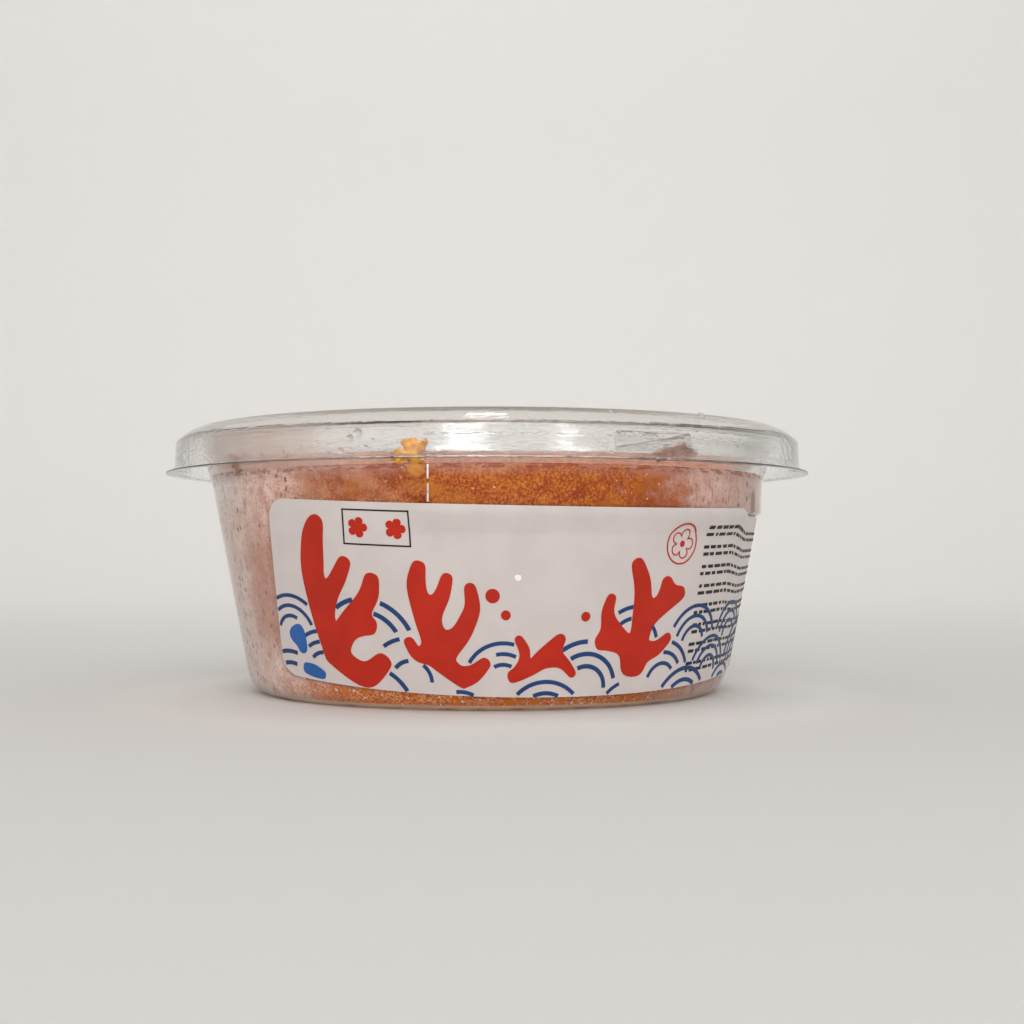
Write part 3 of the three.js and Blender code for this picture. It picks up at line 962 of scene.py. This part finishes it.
def printed(name, colour, gloss=0.4, unevenness=0.12, shine=0.2):
    """Printed paper: one colour, a little uneven, with the paper's fine grain."""
    material, tree = bare_material(name)
    place = object_place(tree)
    darker = tuple(channel * (1 - unevenness) for channel in colour)
    shade = blended(tree, eased(tree, noise(tree, place, 140, 4.0), 0.35, 0.65), colour, darker)
    fibres = node(tree, "Bump", Strength=0.25, Distance=0.02 * MM, Height=noise(tree, place, 2500, 3.0))
    surfaced(tree, node(
        tree, "BsdfPrincipled", Base_Color=shade, Roughness=gloss, Specular_IOR_Level=shine,
        Normal=fibres.outputs["Normal"],
    ))
    return material


finish_with(label, printed("label_paper", LABEL_WHITE, unevenness=0.05), "label_paper", "label")

# The print is ink on the paper: red coral sprigs over the old wave pattern in blue, a boxed
# pair of blossoms, a ringed blossom, and rows of plain dashes where small print would be.
INK_LIFT = LABEL_THICKNESS - 0.02
INK_THICKNESS = 0.08
RED, BLACK = (0.62, 0.03, 0.012), (0.022, 0.02, 0.022)
NAVY, BLUE = (0.024, 0.072, 0.225), (0.035, 0.15, 0.5)
SKIN_GROWTH = 1.35
CORAL = [
    [
        [
            (-27.5, 4.8, 2.4), (-29.5, 11, 2.3), (-32, 18, 2.2), (-33, 25, 2.2), (-32.4, 31, 1.9),
            (-30.8, 34.6, 1.2),
        ],
        [(-29.5, 11, 2.3), (-25, 15, 1.8), (-21.4, 20, 1.6), (-20.6, 24.4, 1.0)],
        [(-25, 15, 1.8), (-20.2, 14.2, 1.2)],
        [(-32, 18, 2.2), (-27.6, 22.6, 1.4), (-25.4, 27, 1.0)],
        [(-27.5, 4.8, 2.4), (-22, 5.4, 1.9), (-18.6, 9.2, 1.2)],
    ],
    [
        [(-7.5, 5.8, 2.0), (-9, 11, 2.0), (-11.6, 17, 1.8), (-12.8, 23, 1.5), (-11.8, 27, 0.9)],
        [(-9, 11, 2.0), (-4.6, 14, 1.5), (-2.4, 18.8, 1.2), (-3.2, 23.4, 0.8)],
        [(-11.6, 17, 1.8), (-8, 20.6, 1.2), (-6.8, 25, 0.8)],
        [(-7.5, 5.8, 2.0), (-2.6, 6.6, 1.4), (0.4, 9.6, 0.8)],
        [(-9, 11, 2.0), (-13.4, 9.8, 1.2), (-15, 13, 0.7)],
    ],
    [
        [(3.8, 6.2, 0.9), (7.4, 7.4, 1.2), (11, 10.4, 1.4), (14.6, 14.2, 0.8)],
        [(7.4, 7.4, 1.2), (7.2, 11.2, 0.9), (5.4, 14, 0.6)],
        [(11, 10.4, 1.4), (14.8, 9, 0.9), (17, 6.4, 0.6)],
    ],
    [
        [(29.5, 5.4, 2.2), (29.8, 11, 2.1), (31, 17, 1.9), (30, 23, 1.6), (27.6, 28, 1.0)],
        [(31, 17, 1.9), (36, 19.6, 1.6), (41, 21.6, 1.0)],
        [(36, 19.6, 1.6), (35.4, 24.6, 0.9)],
        [(29.8, 11, 2.1), (24.6, 13.4, 1.6), (20.6, 12.2, 1.0)],
        [(24.6, 13.4, 1.6), (22.6, 18, 1.1), (23.6, 21.6, 0.7)],
        [(29.8, 11, 2.1), (35, 10.6, 1.3), (38.6, 13.4, 0.8)],
    ],
]
CORAL_BUDS = [(1.0, 21.0, 1.3), (3.4, 17.6, 0.9), (18.4, 17.4, 0.9)]


def flat_place(point):
    """The place of an (around, up, half width) point on the flat label."""
    return Vector((point[0] * MM, point[1] * MM, 0))


def draw_sprig(name, branches):
    """A flat branching shape. A branch is a row of (around, up, half width) points, and starts
    at a point that is already there."""
    bpy.ops.object.select_all(action="DESELECT")
    bpy.ops.mesh.primitive_plane_add(size=MM)
    sprig = bpy.context.object
    sprig.name = name
    bpy.ops.object.mode_set(mode="EDIT")
    bpy.ops.mesh.merge(type="CENTER")
    bpy.ops.transform.translate(value=flat_place(branches[0][0]))
    for branch in branches:
        start = flat_place(branch[0])
        select_where(sprig, lambda place: (place - start).length < 0.05 * MM)
        for (around, up, half), (next_around, next_up, next_half) in zip(branch, branch[1:]):
            step = ((next_around - around) * MM, (next_up - up) * MM, 0)
            bpy.ops.mesh.extrude_region_move(TRANSFORM_OT_translate={"value": step})
    bpy.ops.object.mode_set(mode="OBJECT")
    bpy.ops.object.modifier_add(type="SKIN")
    drawn = [point for branch in branches for point in branch]
    for vertex, skin in zip(sprig.data.vertices, sprig.data.skin_vertices[0].data):
        nearest = min(drawn, key=lambda point: (vertex.co - flat_place(point)).length)
        skin.radius = (nearest[2] * SKIN_GROWTH * MM, nearest[2] * SKIN_GROWTH * MM)
    sprig.data.skin_vertices[0].data[0].use_root = True
    rounded = sprig.modifiers.new("rounded", "SUBSURF")
    rounded.levels = 2
    rounded.render_levels = 2
    apply_modifiers(sprig)
    bpy.ops.object.mode_set(mode="EDIT")
    bpy.ops.mesh.select_all(action="SELECT")
    bpy.ops.mesh.bisect(
        plane_co=(0, 0, 0), plane_no=(0, 0, 1), threshold=0.001 * MM,
        use_fill=True, clear_inner=True, clear_outer=True,
    )
    bpy.ops.object.mode_set(mode="OBJECT")
    return sprig


def draw_disc(name, around, up, radius, steps=20, fill="NGON"):
    """A flat disc on the label."""
    bpy.ops.object.select_all(action="DESELECT")
    bpy.ops.mesh.primitive_circle_add(vertices=steps, radius=radius * MM, fill_type=fill)
    disc = bpy.context.object
    disc.name = name
    bpy.ops.object.mode_set(mode="EDIT")
    bpy.ops.transform.translate(value=(around * MM, up * MM, 0))
    bpy.ops.object.mode_set(mode="OBJECT")
    return disc


def select_faces(piece, test):
    """In edit mode, selects the faces that pass a test."""
    bpy.ops.mesh.select_mode(type="FACE")
    bpy.ops.mesh.select_all(action="DESELECT")
    mesh = bmesh.from_edit_mesh(piece.data)
    for face in mesh.faces:
        face.select = test(face)
    mesh.select_flush(True)
    bmesh.update_edit_mesh(piece.data)


def stick(piece, colour_name, colour):
    """Wraps a flat printed piece onto the label and gives it its ink."""
    make_active(piece, "EDIT")
    select_faces(piece, lambda face: face.normal.z < 0)
    bpy.ops.mesh.flip_normals()
    bpy.ops.mesh.select_mode(type="VERT")
    bpy.ops.object.mode_set(mode="OBJECT")
    wrap_round(piece, on_wall, INK_LIFT, INK_THICKNESS)
    finish_with(piece, printed(colour_name, colour), "label_paper")


sprigs = [draw_sprig("sprig", branches) for branches in CORAL]
sprigs += [draw_disc("bud", *bud) for bud in CORAL_BUDS]


PETALS, PETAL_DEPTH, PETAL_ROUNDNESS = 5, 0.38, 0.6


def draw_blossom(around, up, radius):
    """A flat flower with five round petals."""
    blossom = draw_disc("blossom", 0, 0, radius, steps=60, fill="TRIFAN")
    for vertex in blossom.data.vertices:
        petal = abs(math.cos(PETALS / 2 * math.atan2(vertex.co.y, vertex.co.x)))
        vertex.co *= 1 - PETAL_DEPTH * (1 - petal**PETAL_ROUNDNESS)
        vertex.co += Vector((around * MM, up * MM, 0))
    return blossom


def hollowed(piece, stroke):
    """Leaves only the outline of a flat shape."""
    make_active(piece, "EDIT")
    bpy.ops.mesh.select_all(action="SELECT")
    bpy.ops.mesh.inset(thickness=stroke * MM)
    bpy.ops.mesh.delete(type="FACE")
    bpy.ops.object.mode_set(mode="OBJECT")
    return piece


BOX_LEFT, BOX_RIGHT, BOX_FOOT, BOX_HEAD, BOX_STROKE = -25.8, -13.2, 29.2, 35.7, 0.28
BOXED_AROUND, BOXED_UP, BOXED_RADIUS = (-22.9, -15.9), 32.4, 1.9
RING_AT, RING_RADIUS, RING_STROKE = (38.2, 30.4), 3.9, 0.3
RINGED_RADIUS, RINGED_STROKE, RINGED_MIDDLE = 2.9, 0.24, 0.6
ring = hollowed(draw_disc("ring", *RING_AT, RING_RADIUS, steps=48), RING_STROKE)
ringed = hollowed(draw_blossom(*RING_AT, RINGED_RADIUS), RINGED_STROKE)
sprigs += [draw_blossom(around, BOXED_UP, BOXED_RADIUS) for around in BOXED_AROUND]
sprigs += [ring, ringed, draw_disc("bud", *RING_AT, RINGED_MIDDLE)]
coral = joined("label_coral", sprigs)
stick(coral, "ink_red", RED)

box = draw_rectangle("box", BOX_LEFT, BOX_RIGHT, BOX_FOOT, BOX_HEAD)
bpy.ops.object.mode_set(mode="OBJECT")
hollowed(box, BOX_STROKE)

ROW_FROM, ROW_TO = 44.6, 94.0
ROW_HEAD, ROW_PITCH, ROWS, LINE_PITCH = 33.4, 3.75, 8, 1.35
DASH_STROKE = 0.62
random.seed(11)
make_active(box, "EDIT")
for row in range(ROWS):
    for line in range(2):
        up = ROW_HEAD - row * ROW_PITCH - line * LINE_PITCH
        around = ROW_FROM + random.uniform(0, 0.5)
        while around < ROW_TO:
            length = random.uniform(0.7, 2.4)
            middle = ((around + length / 2) * MM, up * MM, 0)
            bpy.ops.mesh.primitive_plane_add(size=MM, location=middle)
            bpy.ops.transform.resize(value=(length, DASH_STROKE, 1), center_override=middle)
            around += length + random.uniform(0.45, 0.8)
bpy.ops.object.mode_set(mode="OBJECT")
black = joined("label_box_and_dashes", [box])
stick(black, "ink_black", BLACK)

# One fan of three rings is drawn and copied in rows. Of each copy only the arcs are kept that
# no lower fan covers, that lie on the paper, and that stay clear of the coral.
FAN_RINGS = (8.8, 6.6, 4.4)
FAN_STROKE = 0.8
FAN_PITCH, FAN_RISE, FAN_ROWS = 17.0, 6.4, 5
FAN_GAP = 1.0
CORAL_CLEAR, PAPER_EDGE = 0.75, 0.25
LEAST_ARC = 5
CREST_UP, CREST_SWING, CREST_AROUND, CREST_HALF_WAVE = 19, 4.5, -41, 40
FIRST_FAN_AROUND, FIRST_FAN_UP = -48, 17.4
SPLASHES = [
    [
        [(-40.2, 10.8, 0.9), (-38.4, 11.4, 1.3), (-36.9, 9.6, 1.1), (-36.6, 7.4, 0.8)],
        [(-38.4, 11.4, 1.3), (-36.8, 13.2, 0.7)],
    ],
    [[(-37.2, 4.9, 0.8), (-34.4, 4.6, 1.1), (-31.6, 3.9, 0.6)]],
]
random.seed(4)
bpy.ops.object.select_all(action="DESELECT")
bpy.ops.mesh.primitive_circle_add(vertices=72, radius=FAN_RINGS[0] * MM)
fan = bpy.context.object
bpy.ops.object.mode_set(mode="EDIT")
for reach in FAN_RINGS:
    if reach < FAN_RINGS[0]:
        bpy.ops.mesh.primitive_circle_add(vertices=72, radius=reach * MM)
    bpy.ops.mesh.extrude_region_move()
    inner = (reach - FAN_STROKE) / reach
    bpy.ops.transform.resize(value=(inner, inner, 1), center_override=(0, 0, 0))
bpy.ops.object.mode_set(mode="OBJECT")


def crest(around):
    """How high the waves climb on the label, highest at its ends and under the ring."""
    return CREST_UP + CREST_SWING * math.cos((around - CREST_AROUND) / CREST_HALF_WAVE * math.pi)


fans = []
for row in range(FAN_ROWS):
    around = FIRST_FAN_AROUND + (row % 2) * FAN_PITCH / 2
    while around < LABEL_END:
        fan_around = around + random.uniform(-0.9, 0.9)
        fan_up = FIRST_FAN_UP - row * FAN_RISE + random.uniform(-0.7, 0.7)
        size = random.uniform(0.86, 1.08)
        if fan_up + size * FAN_RINGS[0] < crest(fan_around) + 1.5:
            fans.append((fan_around, fan_up, size))
        around += FAN_PITCH

drawn_shapes = CORAL + SPLASHES
limbs = [pair for shape in drawn_shapes for branch in shape for pair in zip(branch, branch[1:])]
limbs += [(bud, bud) for bud in CORAL_BUDS]


def off_shapes(around, up):
    """How far a point of the label is from the nearest coral, bud or splash."""
    nearest = 99
    for (x, y, half), (next_x, next_y, next_half) in limbs:
        run_x, run_y = next_x - x, next_y - y
        share = ((around - x) * run_x + (up - y) * run_y) / max(run_x**2 + run_y**2, 0.01)
        share = min(max(share, 0), 1)
        gap = math.hypot(around - x - share * run_x, up - y - share * run_y)
        nearest = min(nearest, gap - half - share * (next_half - half))
    return nearest


def off_paper(around, up):
    """Whether a point lies outside the label, or within a hair of its edge."""
    side = min(around - LABEL_START, LABEL_END - around) - PAPER_EDGE
    end = min(up - LABEL_FOOT, LABEL_HEAD - up) - PAPER_EDGE
    corner = math.hypot(max(LABEL_CORNER - side, 0), max(LABEL_CORNER - end, 0))
    return min(side, end) < 0 or corner > LABEL_CORNER


def lose_faces(piece, test):
    """In edit mode, deletes the faces that pass a test."""
    select_faces(piece, test)
    bpy.ops.mesh.delete(type="FACE")
    bpy.ops.mesh.select_mode(type="VERT")


def lose_scraps(piece, least):
    """In edit mode, deletes the parts of a piece that have fewer faces than the least."""
    mesh = bmesh.from_edit_mesh(piece.data)
    unseen = set(mesh.faces)
    scraps = set()
    while unseen:
        part = [unseen.pop()]
        for face in part:
            beside = {other for edge in face.edges for other in edge.link_faces} & unseen
            unseen -= beside
            part.extend(beside)
        if len(part) < least:
            scraps.update(part)
    lose_faces(piece, lambda face: face in scraps)


def covered(face, fans_below):
    """Whether a face of a fan lies off the paper, by the coral, or under one of other fans."""
    x, y = (face.calc_center_median() / MM).xy
    return (
        off_paper(x, y)
        or off_shapes(x, y) < CORAL_CLEAR
        or any(math.hypot(x - at_x, y - at_y) < reach for at_x, at_y, reach in fans_below)
    )


drawn_fans = []
for index, (around, up, size) in enumerate(fans):
    copied = copy_of(fan, "fan")
    bpy.ops.object.mode_set(mode="EDIT")
    bpy.ops.mesh.select_all(action="SELECT")
    bpy.ops.transform.resize(value=(size, size, 1), center_override=(0, 0, 0))
    bpy.ops.transform.translate(value=(around * MM, up * MM, 0))
    fans_below = [
        (x, y, other * FAN_RINGS[0] + FAN_GAP)
        for x, y, other in fans[index + 1:]
        if abs(x - around) < FAN_PITCH - FAN_GAP
    ]
    lose_faces(copied, lambda face: covered(face, fans_below))
    lose_scraps(copied, LEAST_ARC)
    bpy.ops.object.mode_set(mode="OBJECT")
    drawn_fans.append(copied)
bpy.data.objects.remove(fan)
waves = joined("label_waves", drawn_fans)
stick(waves, "ink_navy", NAVY)

splashes = joined("label_splashes", [draw_sprig("splash", branches) for branches in SPLASHES])
stick(splashes, "ink_blue", BLUE)


# Roe in the gap
# A few eggs have been squeezed up between the lid's plug and the rim. Crushed eggs make an
# ochre lump, a mound stands at the right, and brown traces lie outside the rim at the left.
FOCAL_PIXELS = LENS / 36 * PHOTO_WIDTH
AXIS_PIXEL_X = PHOTO_WIDTH / 2 - PIXELS_LEFT_OF_CENTRE
AXIS_PIXEL_Y = PHOTO_WIDTH / 2 + PIXELS_BELOW_CENTRE
OCHRE_PIXELS = [
    (414, 442, 0.78), (408, 446, 0.78), (419, 446, 0.78), (413, 450, 0.78), (423, 443, 0.6),
    (404, 442, 0.6), (420, 451, 0.7), (408, 454, 0.7), (412, 457, 0.78), (418, 456, 0.7),
    (414, 461, 0.7), (409, 461, 0.6), (419, 461, 0.55), (397, 452, 0.65), (402, 456, 0.6),
    (394, 456, 0.5), (398, 461, 0.5),
]
MOUND_PIXELS = [
    (647, 457, 0.45), (654, 455, 0.6), (660, 453, 0.7), (666, 451, 0.78), (672, 450, 0.78),
    (678, 448, 0.78), (684, 447, 0.78), (690, 450, 0.78), (694, 455, 0.7), (675, 455, 0.78),
    (682, 453, 0.78), (688, 456, 0.78), (668, 457, 0.75), (661, 457, 0.7), (681, 457, 0.75),
]
TRACE_PIXELS = [
    (231, 457, 0.42), (234, 459, 0.36), (228, 459, 0.3), (238, 460, 0.24), (232, 467, 0.38),
    (234, 471, 0.32), (262, 455, 0.26), (247, 454, 0.24), (284, 458, 0.22), (291, 455, 0.22),
]
GAP_BEND, GAP_REACH, GAP_LEAN, GAP_LEAN_BELOW = 46, 58.2, 0.12, 0.37
TRACE_REACH = 59.35


def seen_at(pixel_x, pixel_y, reach):
    """The azimuth in radians, and the height, at which a pixel of the photograph shows the
    near side of a round wall of a given reach."""
    azimuth = 0
    for turn in range(30):
        aside = (pixel_x - AXIS_PIXEL_X) / FOCAL_PIXELS
        azimuth = math.asin(aside * (VIEW_DISTANCE / reach - math.cos(azimuth)))
    depth = VIEW_DISTANCE - reach * math.cos(azimuth)
    return azimuth, VIEW_HEIGHT + (AXIS_PIXEL_Y - pixel_y) / FOCAL_PIXELS * depth


def lump(name, spots, inner_reach):
    """Balls at (pixel x, pixel y, radius), each touching the inside of a wall, grown together."""
    random.seed(17)
    balls = []
    for pixel_x, pixel_y, radius in spots * 4:
        pixel_x += random.uniform(-2.2, 2.2)
        pixel_y += random.uniform(-1.6, 1.6)
        azimuth, height = seen_at(pixel_x, pixel_y, inner_reach)
        lean = GAP_LEAN if height > GAP_BEND else GAP_LEAN_BELOW
        reach = inner_reach + lean * (height - GAP_BEND) - radius - 0.03
        bpy.ops.object.select_all(action="DESELECT")
        bpy.ops.mesh.primitive_ico_sphere_add(
            subdivisions=2, radius=radius * MM,
            location=Vector((reach * math.sin(azimuth), -reach * math.cos(azimuth), height)) * MM,
        )
        balls.append(bpy.context.object)
    grown = joined(name, balls)
    bpy.ops.object.transform_apply(location=True)
    remesh = grown.modifiers.new("grown", "REMESH")
    remesh.mode = "VOXEL"
    remesh.voxel_size = 0.17 * MM
    smooth = grown.modifiers.new("smooth", "SMOOTH")
    smooth.factor = 0.5
    smooth.iterations = 5
    apply_modifiers(grown)
    bpy.ops.object.shade_smooth()
    return grown


def crushed(name, dark, light):
    """Wet crushed egg, mottled between a dark and a light colour."""
    material, tree = bare_material(name)
    place = object_place(tree)
    clots = noise(tree, place, 700, 4.0, 0.6)
    colour = graded(tree, clots, (0.38, dark), (0.6, light))
    relief = node(tree, "Bump", Strength=0.5, Distance=0.15 * MM, Height=clots)
    surfaced(tree, node(
        tree, "BsdfPrincipled", Base_Color=colour, Roughness=0.4, Subsurface_Weight=0.3,
        Subsurface_Radius=(1.0, 0.5, 0.2), Subsurface_Scale=0.8 * MM,
        Normal=relief.outputs["Normal"],
    ))
    return material


LUMPS = [
    ("roe_ochre_lump", OCHRE_PIXELS, GAP_REACH, "roe_ochre", (0.34, 0.10, 0.001), (0.62, 0.29, 0.006)),
    ("roe_mound", MOUND_PIXELS, GAP_REACH, "roe_mound", (0.125, 0.045, 0.03), (0.29, 0.145, 0.115)),
    ("roe_traces", TRACE_PIXELS, TRACE_REACH, "roe_brown", (0.20, 0.09, 0.05), (0.34, 0.18, 0.11)),
]
for name, pixels, reach, material_name, dark, light in LUMPS:
    finish_with(lump(name, pixels, reach), crushed(material_name, dark, light), "roe")


# Water
# Meltwater: small drops on the lid's skirt and shoulder and one on the label, and a thin sheet
# of it on the skirt at the right.
SKIRT_DROPS = [
    (350, 438, 0.7), (358, 433, 0.9), (285, 454, 0.8), (341, 451, 0.7), (300, 447, 0.4),
    (318, 442, 0.4), (329, 453, 0.45), (366, 447, 0.4), (373, 440, 0.35), (384, 452, 0.3),
    (309, 456, 0.3), (352, 449, 0.3), (611, 452, 0.3), (640, 455, 0.3), (738, 447, 0.3),
]
SHOULDER_DROPS = [(610, 412, 0.45), (700, 415, 0.7), (330, 424, 0.35)]
LABEL_DROPS = [(518, 577, 0.65), (283, 505, 0.2), (321, 603, 0.2)]
SKIRT_REACH, SHOULDER_REACH, LABEL_REACH = 65.16, 63.2, 54.2
SKIRT_LIFT, SHOULDER_LIFT, LABEL_LIFT = 0.1, 0.35, LABEL_THICKNESS + 0.06
SHOULDER_FACES = math.radians(52)
DROP_CUT, DROP_FLATNESS = 0.3, 0.75
SHEET_THICKNESS = 0.1
WATER_TINT = (0.93, 0.925, 0.915)
SKIRT_MIDDLE, SKIRT_LEAN = 48.6, 0.035

bpy.ops.object.select_all(action="DESELECT")
bpy.ops.mesh.primitive_uv_sphere_add(segments=20, ring_count=12, radius=MM)
drop = bpy.context.object
bpy.ops.object.mode_set(mode="EDIT")
bpy.ops.mesh.select_all(action="SELECT")
bpy.ops.mesh.bisect(
    plane_co=(0, 0, DROP_CUT * MM), plane_no=(0, 0, 1), threshold=0.001 * MM,
    use_fill=True, clear_inner=True,
)
bpy.ops.mesh.select_all(action="SELECT")
bpy.ops.transform.translate(value=(0, 0, -DROP_CUT * MM))
bpy.ops.transform.resize(value=(1, 1, DROP_FLATNESS), center_override=(0, 0, 0))
bpy.ops.object.mode_set(mode="OBJECT")


def put_drop(pixel_x, pixel_y, size, reach, lift, faces_up=0.0):
    """Copies the drop to where a pixel shows a wall, turned to stand out from it."""
    azimuth, height = seen_at(pixel_x, pixel_y, reach)
    copied = copy_of(drop, "drop")
    copied.scale = (size, size, size)
    copied.rotation_euler = (math.radians(90) - faces_up, 0, azimuth)
    reach += lift
    copied.location = Vector((reach * math.sin(azimuth), -reach * math.cos(azimuth), height)) * MM
    return copied


def water(name, ripple=0.0):
    """Clean water."""
    return clear_stuff(
        name, tint=lambda tree, place: WATER_TINT, clearness=lambda tree, place: 1.0,
        roughness=lambda tree, place: 0.01, buckling=0.0, ripple=ripple, ior=1.33,
    )


def wet(name, drops, water_name, slot):
    """Joins drops into one piece of water."""
    pool = joined(name, drops)
    bpy.ops.object.transform_apply(location=True, rotation=True, scale=True)
    bpy.ops.object.shade_smooth_by_angle(angle=math.radians(50))
    finish_with(pool, water(water_name), slot)


lid_drops = [put_drop(*spot, SKIRT_REACH, SKIRT_LIFT) for spot in SKIRT_DROPS]
for spot in SHOULDER_DROPS:
    lid_drops.append(put_drop(*spot, SHOULDER_REACH, SHOULDER_LIFT, SHOULDER_FACES))
wet("lid_drops", lid_drops, "water_on_lid", "lid_clear")

label_drops = []
for pixel_x, pixel_y, size in LABEL_DROPS:
    height = seen_at(pixel_x, pixel_y, LABEL_REACH)[1]
    paper = WALL_TOP_RADIUS - WALL_LEAN * (WALL_TOP - height) + LABEL_OFF_WALL
    label_drops.append(put_drop(pixel_x, pixel_y, size, paper, LABEL_LIFT))
wet("label_drops", label_drops, "water_on_label", "label_paper")
bpy.data.objects.remove(drop)


def on_skirt(around, up, lift):
    """The place on the lid's skirt for millimetres round it and up it."""
    reach = SKIRT_REACH + SKIRT_LEAN * (SKIRT_MIDDLE - up) + 0.03 + lift
    angle = around / reach
    return Vector((reach * math.sin(angle), -reach * math.cos(angle), up)) * MM


SHEET_WIDTH, SHEET_HEIGHT, SHEET_AROUND, SHEET_UP = 15.8, 3.5, 30.4, 48.35
SHEET_CORNER, SHEET_RAGGED = 0.9, 0.12

sheet = draw_rectangle(
    "lid_water_sheet", -SHEET_WIDTH / 2, SHEET_WIDTH / 2, -SHEET_HEIGHT / 2, SHEET_HEIGHT / 2
)
bpy.ops.mesh.bevel(offset=SHEET_CORNER * MM, segments=4, affect="VERTICES")
bpy.ops.mesh.select_all(action="SELECT")
bpy.ops.mesh.subdivide(number_cuts=6)
bpy.ops.transform.vertex_random(offset=SHEET_RAGGED * MM, uniform=0.8, seed=3)
bpy.ops.transform.translate(value=(SHEET_AROUND * MM, SHEET_UP * MM, 0))
bpy.ops.object.mode_set(mode="OBJECT")
wrap_round(sheet, on_skirt, 0, SHEET_THICKNESS)
bpy.ops.object.shade_smooth_by_angle(angle=math.radians(35))
finish_with(sheet, water("water_sheet"), "lid_clear")


# The floor and the light
# A plain pale floor that turns up into a round wall, lit evenly from all round and above.
FLOOR_RADIUS, FLOOR_CURVE, WALL_HEIGHT = 700, 450, 1500
FLOOR_PALE = (0.925, 0.91, 0.89)
WORLD_WHITE, WORLD_STRENGTH = (1.0, 0.995, 0.98), 0.525
floor_outline = [(0, 0), (FLOOR_RADIUS + FLOOR_CURVE, 0), (FLOOR_RADIUS + FLOOR_CURVE, WALL_HEIGHT)]
floor = draw_chain("floor", floor_outline)
bpy.ops.object.mode_set(mode="EDIT")
round_corner(floor, *floor_outline[1], FLOOR_CURVE, steps=24)
spin_round(floor, 96)
bpy.ops.mesh.normals_make_consistent(inside=True)
bpy.ops.object.mode_set(mode="OBJECT")
bpy.ops.object.shade_smooth()
material, tree = bare_material("pale_floor")
floor_paint = node(
    tree, "BsdfPrincipled", Base_Color=FLOOR_PALE, Roughness=0.7, Specular_IOR_Level=0.0
)
surfaced(tree, floor_paint)
floor.data.materials.append(material)

world = bpy.data.worlds.new("soft_light")
bpy.context.scene.world = world
world.use_nodes = True
sky = world.node_tree.nodes["Background"].inputs
sky["Color"].default_value = (*WORLD_WHITE, 1)
sky["Strength"].default_value = WORLD_STRENGTH

# The soft key light in front, and another that brightens the wall behind.
AREA_LIGHTS = [
    ((0.04, -0.84, 0.44), (0, 0, 0.03), (0.8, 0.42), 150, 2.05),
    ((0, 0.30, 1.0), (0, 1.15, 0.25), (0.9, 0.5), 130, 1.75),
]


def add_lamp(place, width, depth, energy):
    """A rectangular lamp that the camera doesn't see."""
    bpy.ops.object.light_add(type="AREA", location=place)
    lamp = bpy.context.object
    lamp.data.shape = "RECTANGLE"
    lamp.data.size = width
    lamp.data.size_y = depth
    lamp.data.energy = energy
    lamp.visible_camera = False
    return lamp


for place, aim, (width, depth), spread, energy in AREA_LIGHTS:
    lamp = add_lamp(place, width, depth, energy)
    lamp.data.spread = math.radians(spread)
    lamp.visible_glossy = False
    lamp.rotation_euler = (Vector(aim) - lamp.location).to_track_quat("-Z", "Y").to_euler()

# Lamps that are seen only as highlights on the plastic: two in front for the skirt, and one
# overhead for the shoulder.
LAMPS = [
    ((-0.12, -0.9, 0.15), 0.22, 90), ((0.45, -0.9, 0.15), 0.14, 90), ((0.0, 0.2, 0.9), 0.10, 0),
]
LAMP_DEPTH, LAMP_POWER_PER_METRE = 0.045, 8.0
for place, width, tilt in LAMPS:
    lamp = add_lamp(place, width, LAMP_DEPTH, LAMP_POWER_PER_METRE * width)
    lamp.visible_diffuse = False
    lamp.rotation_euler = (math.radians(tilt), 0, 0)
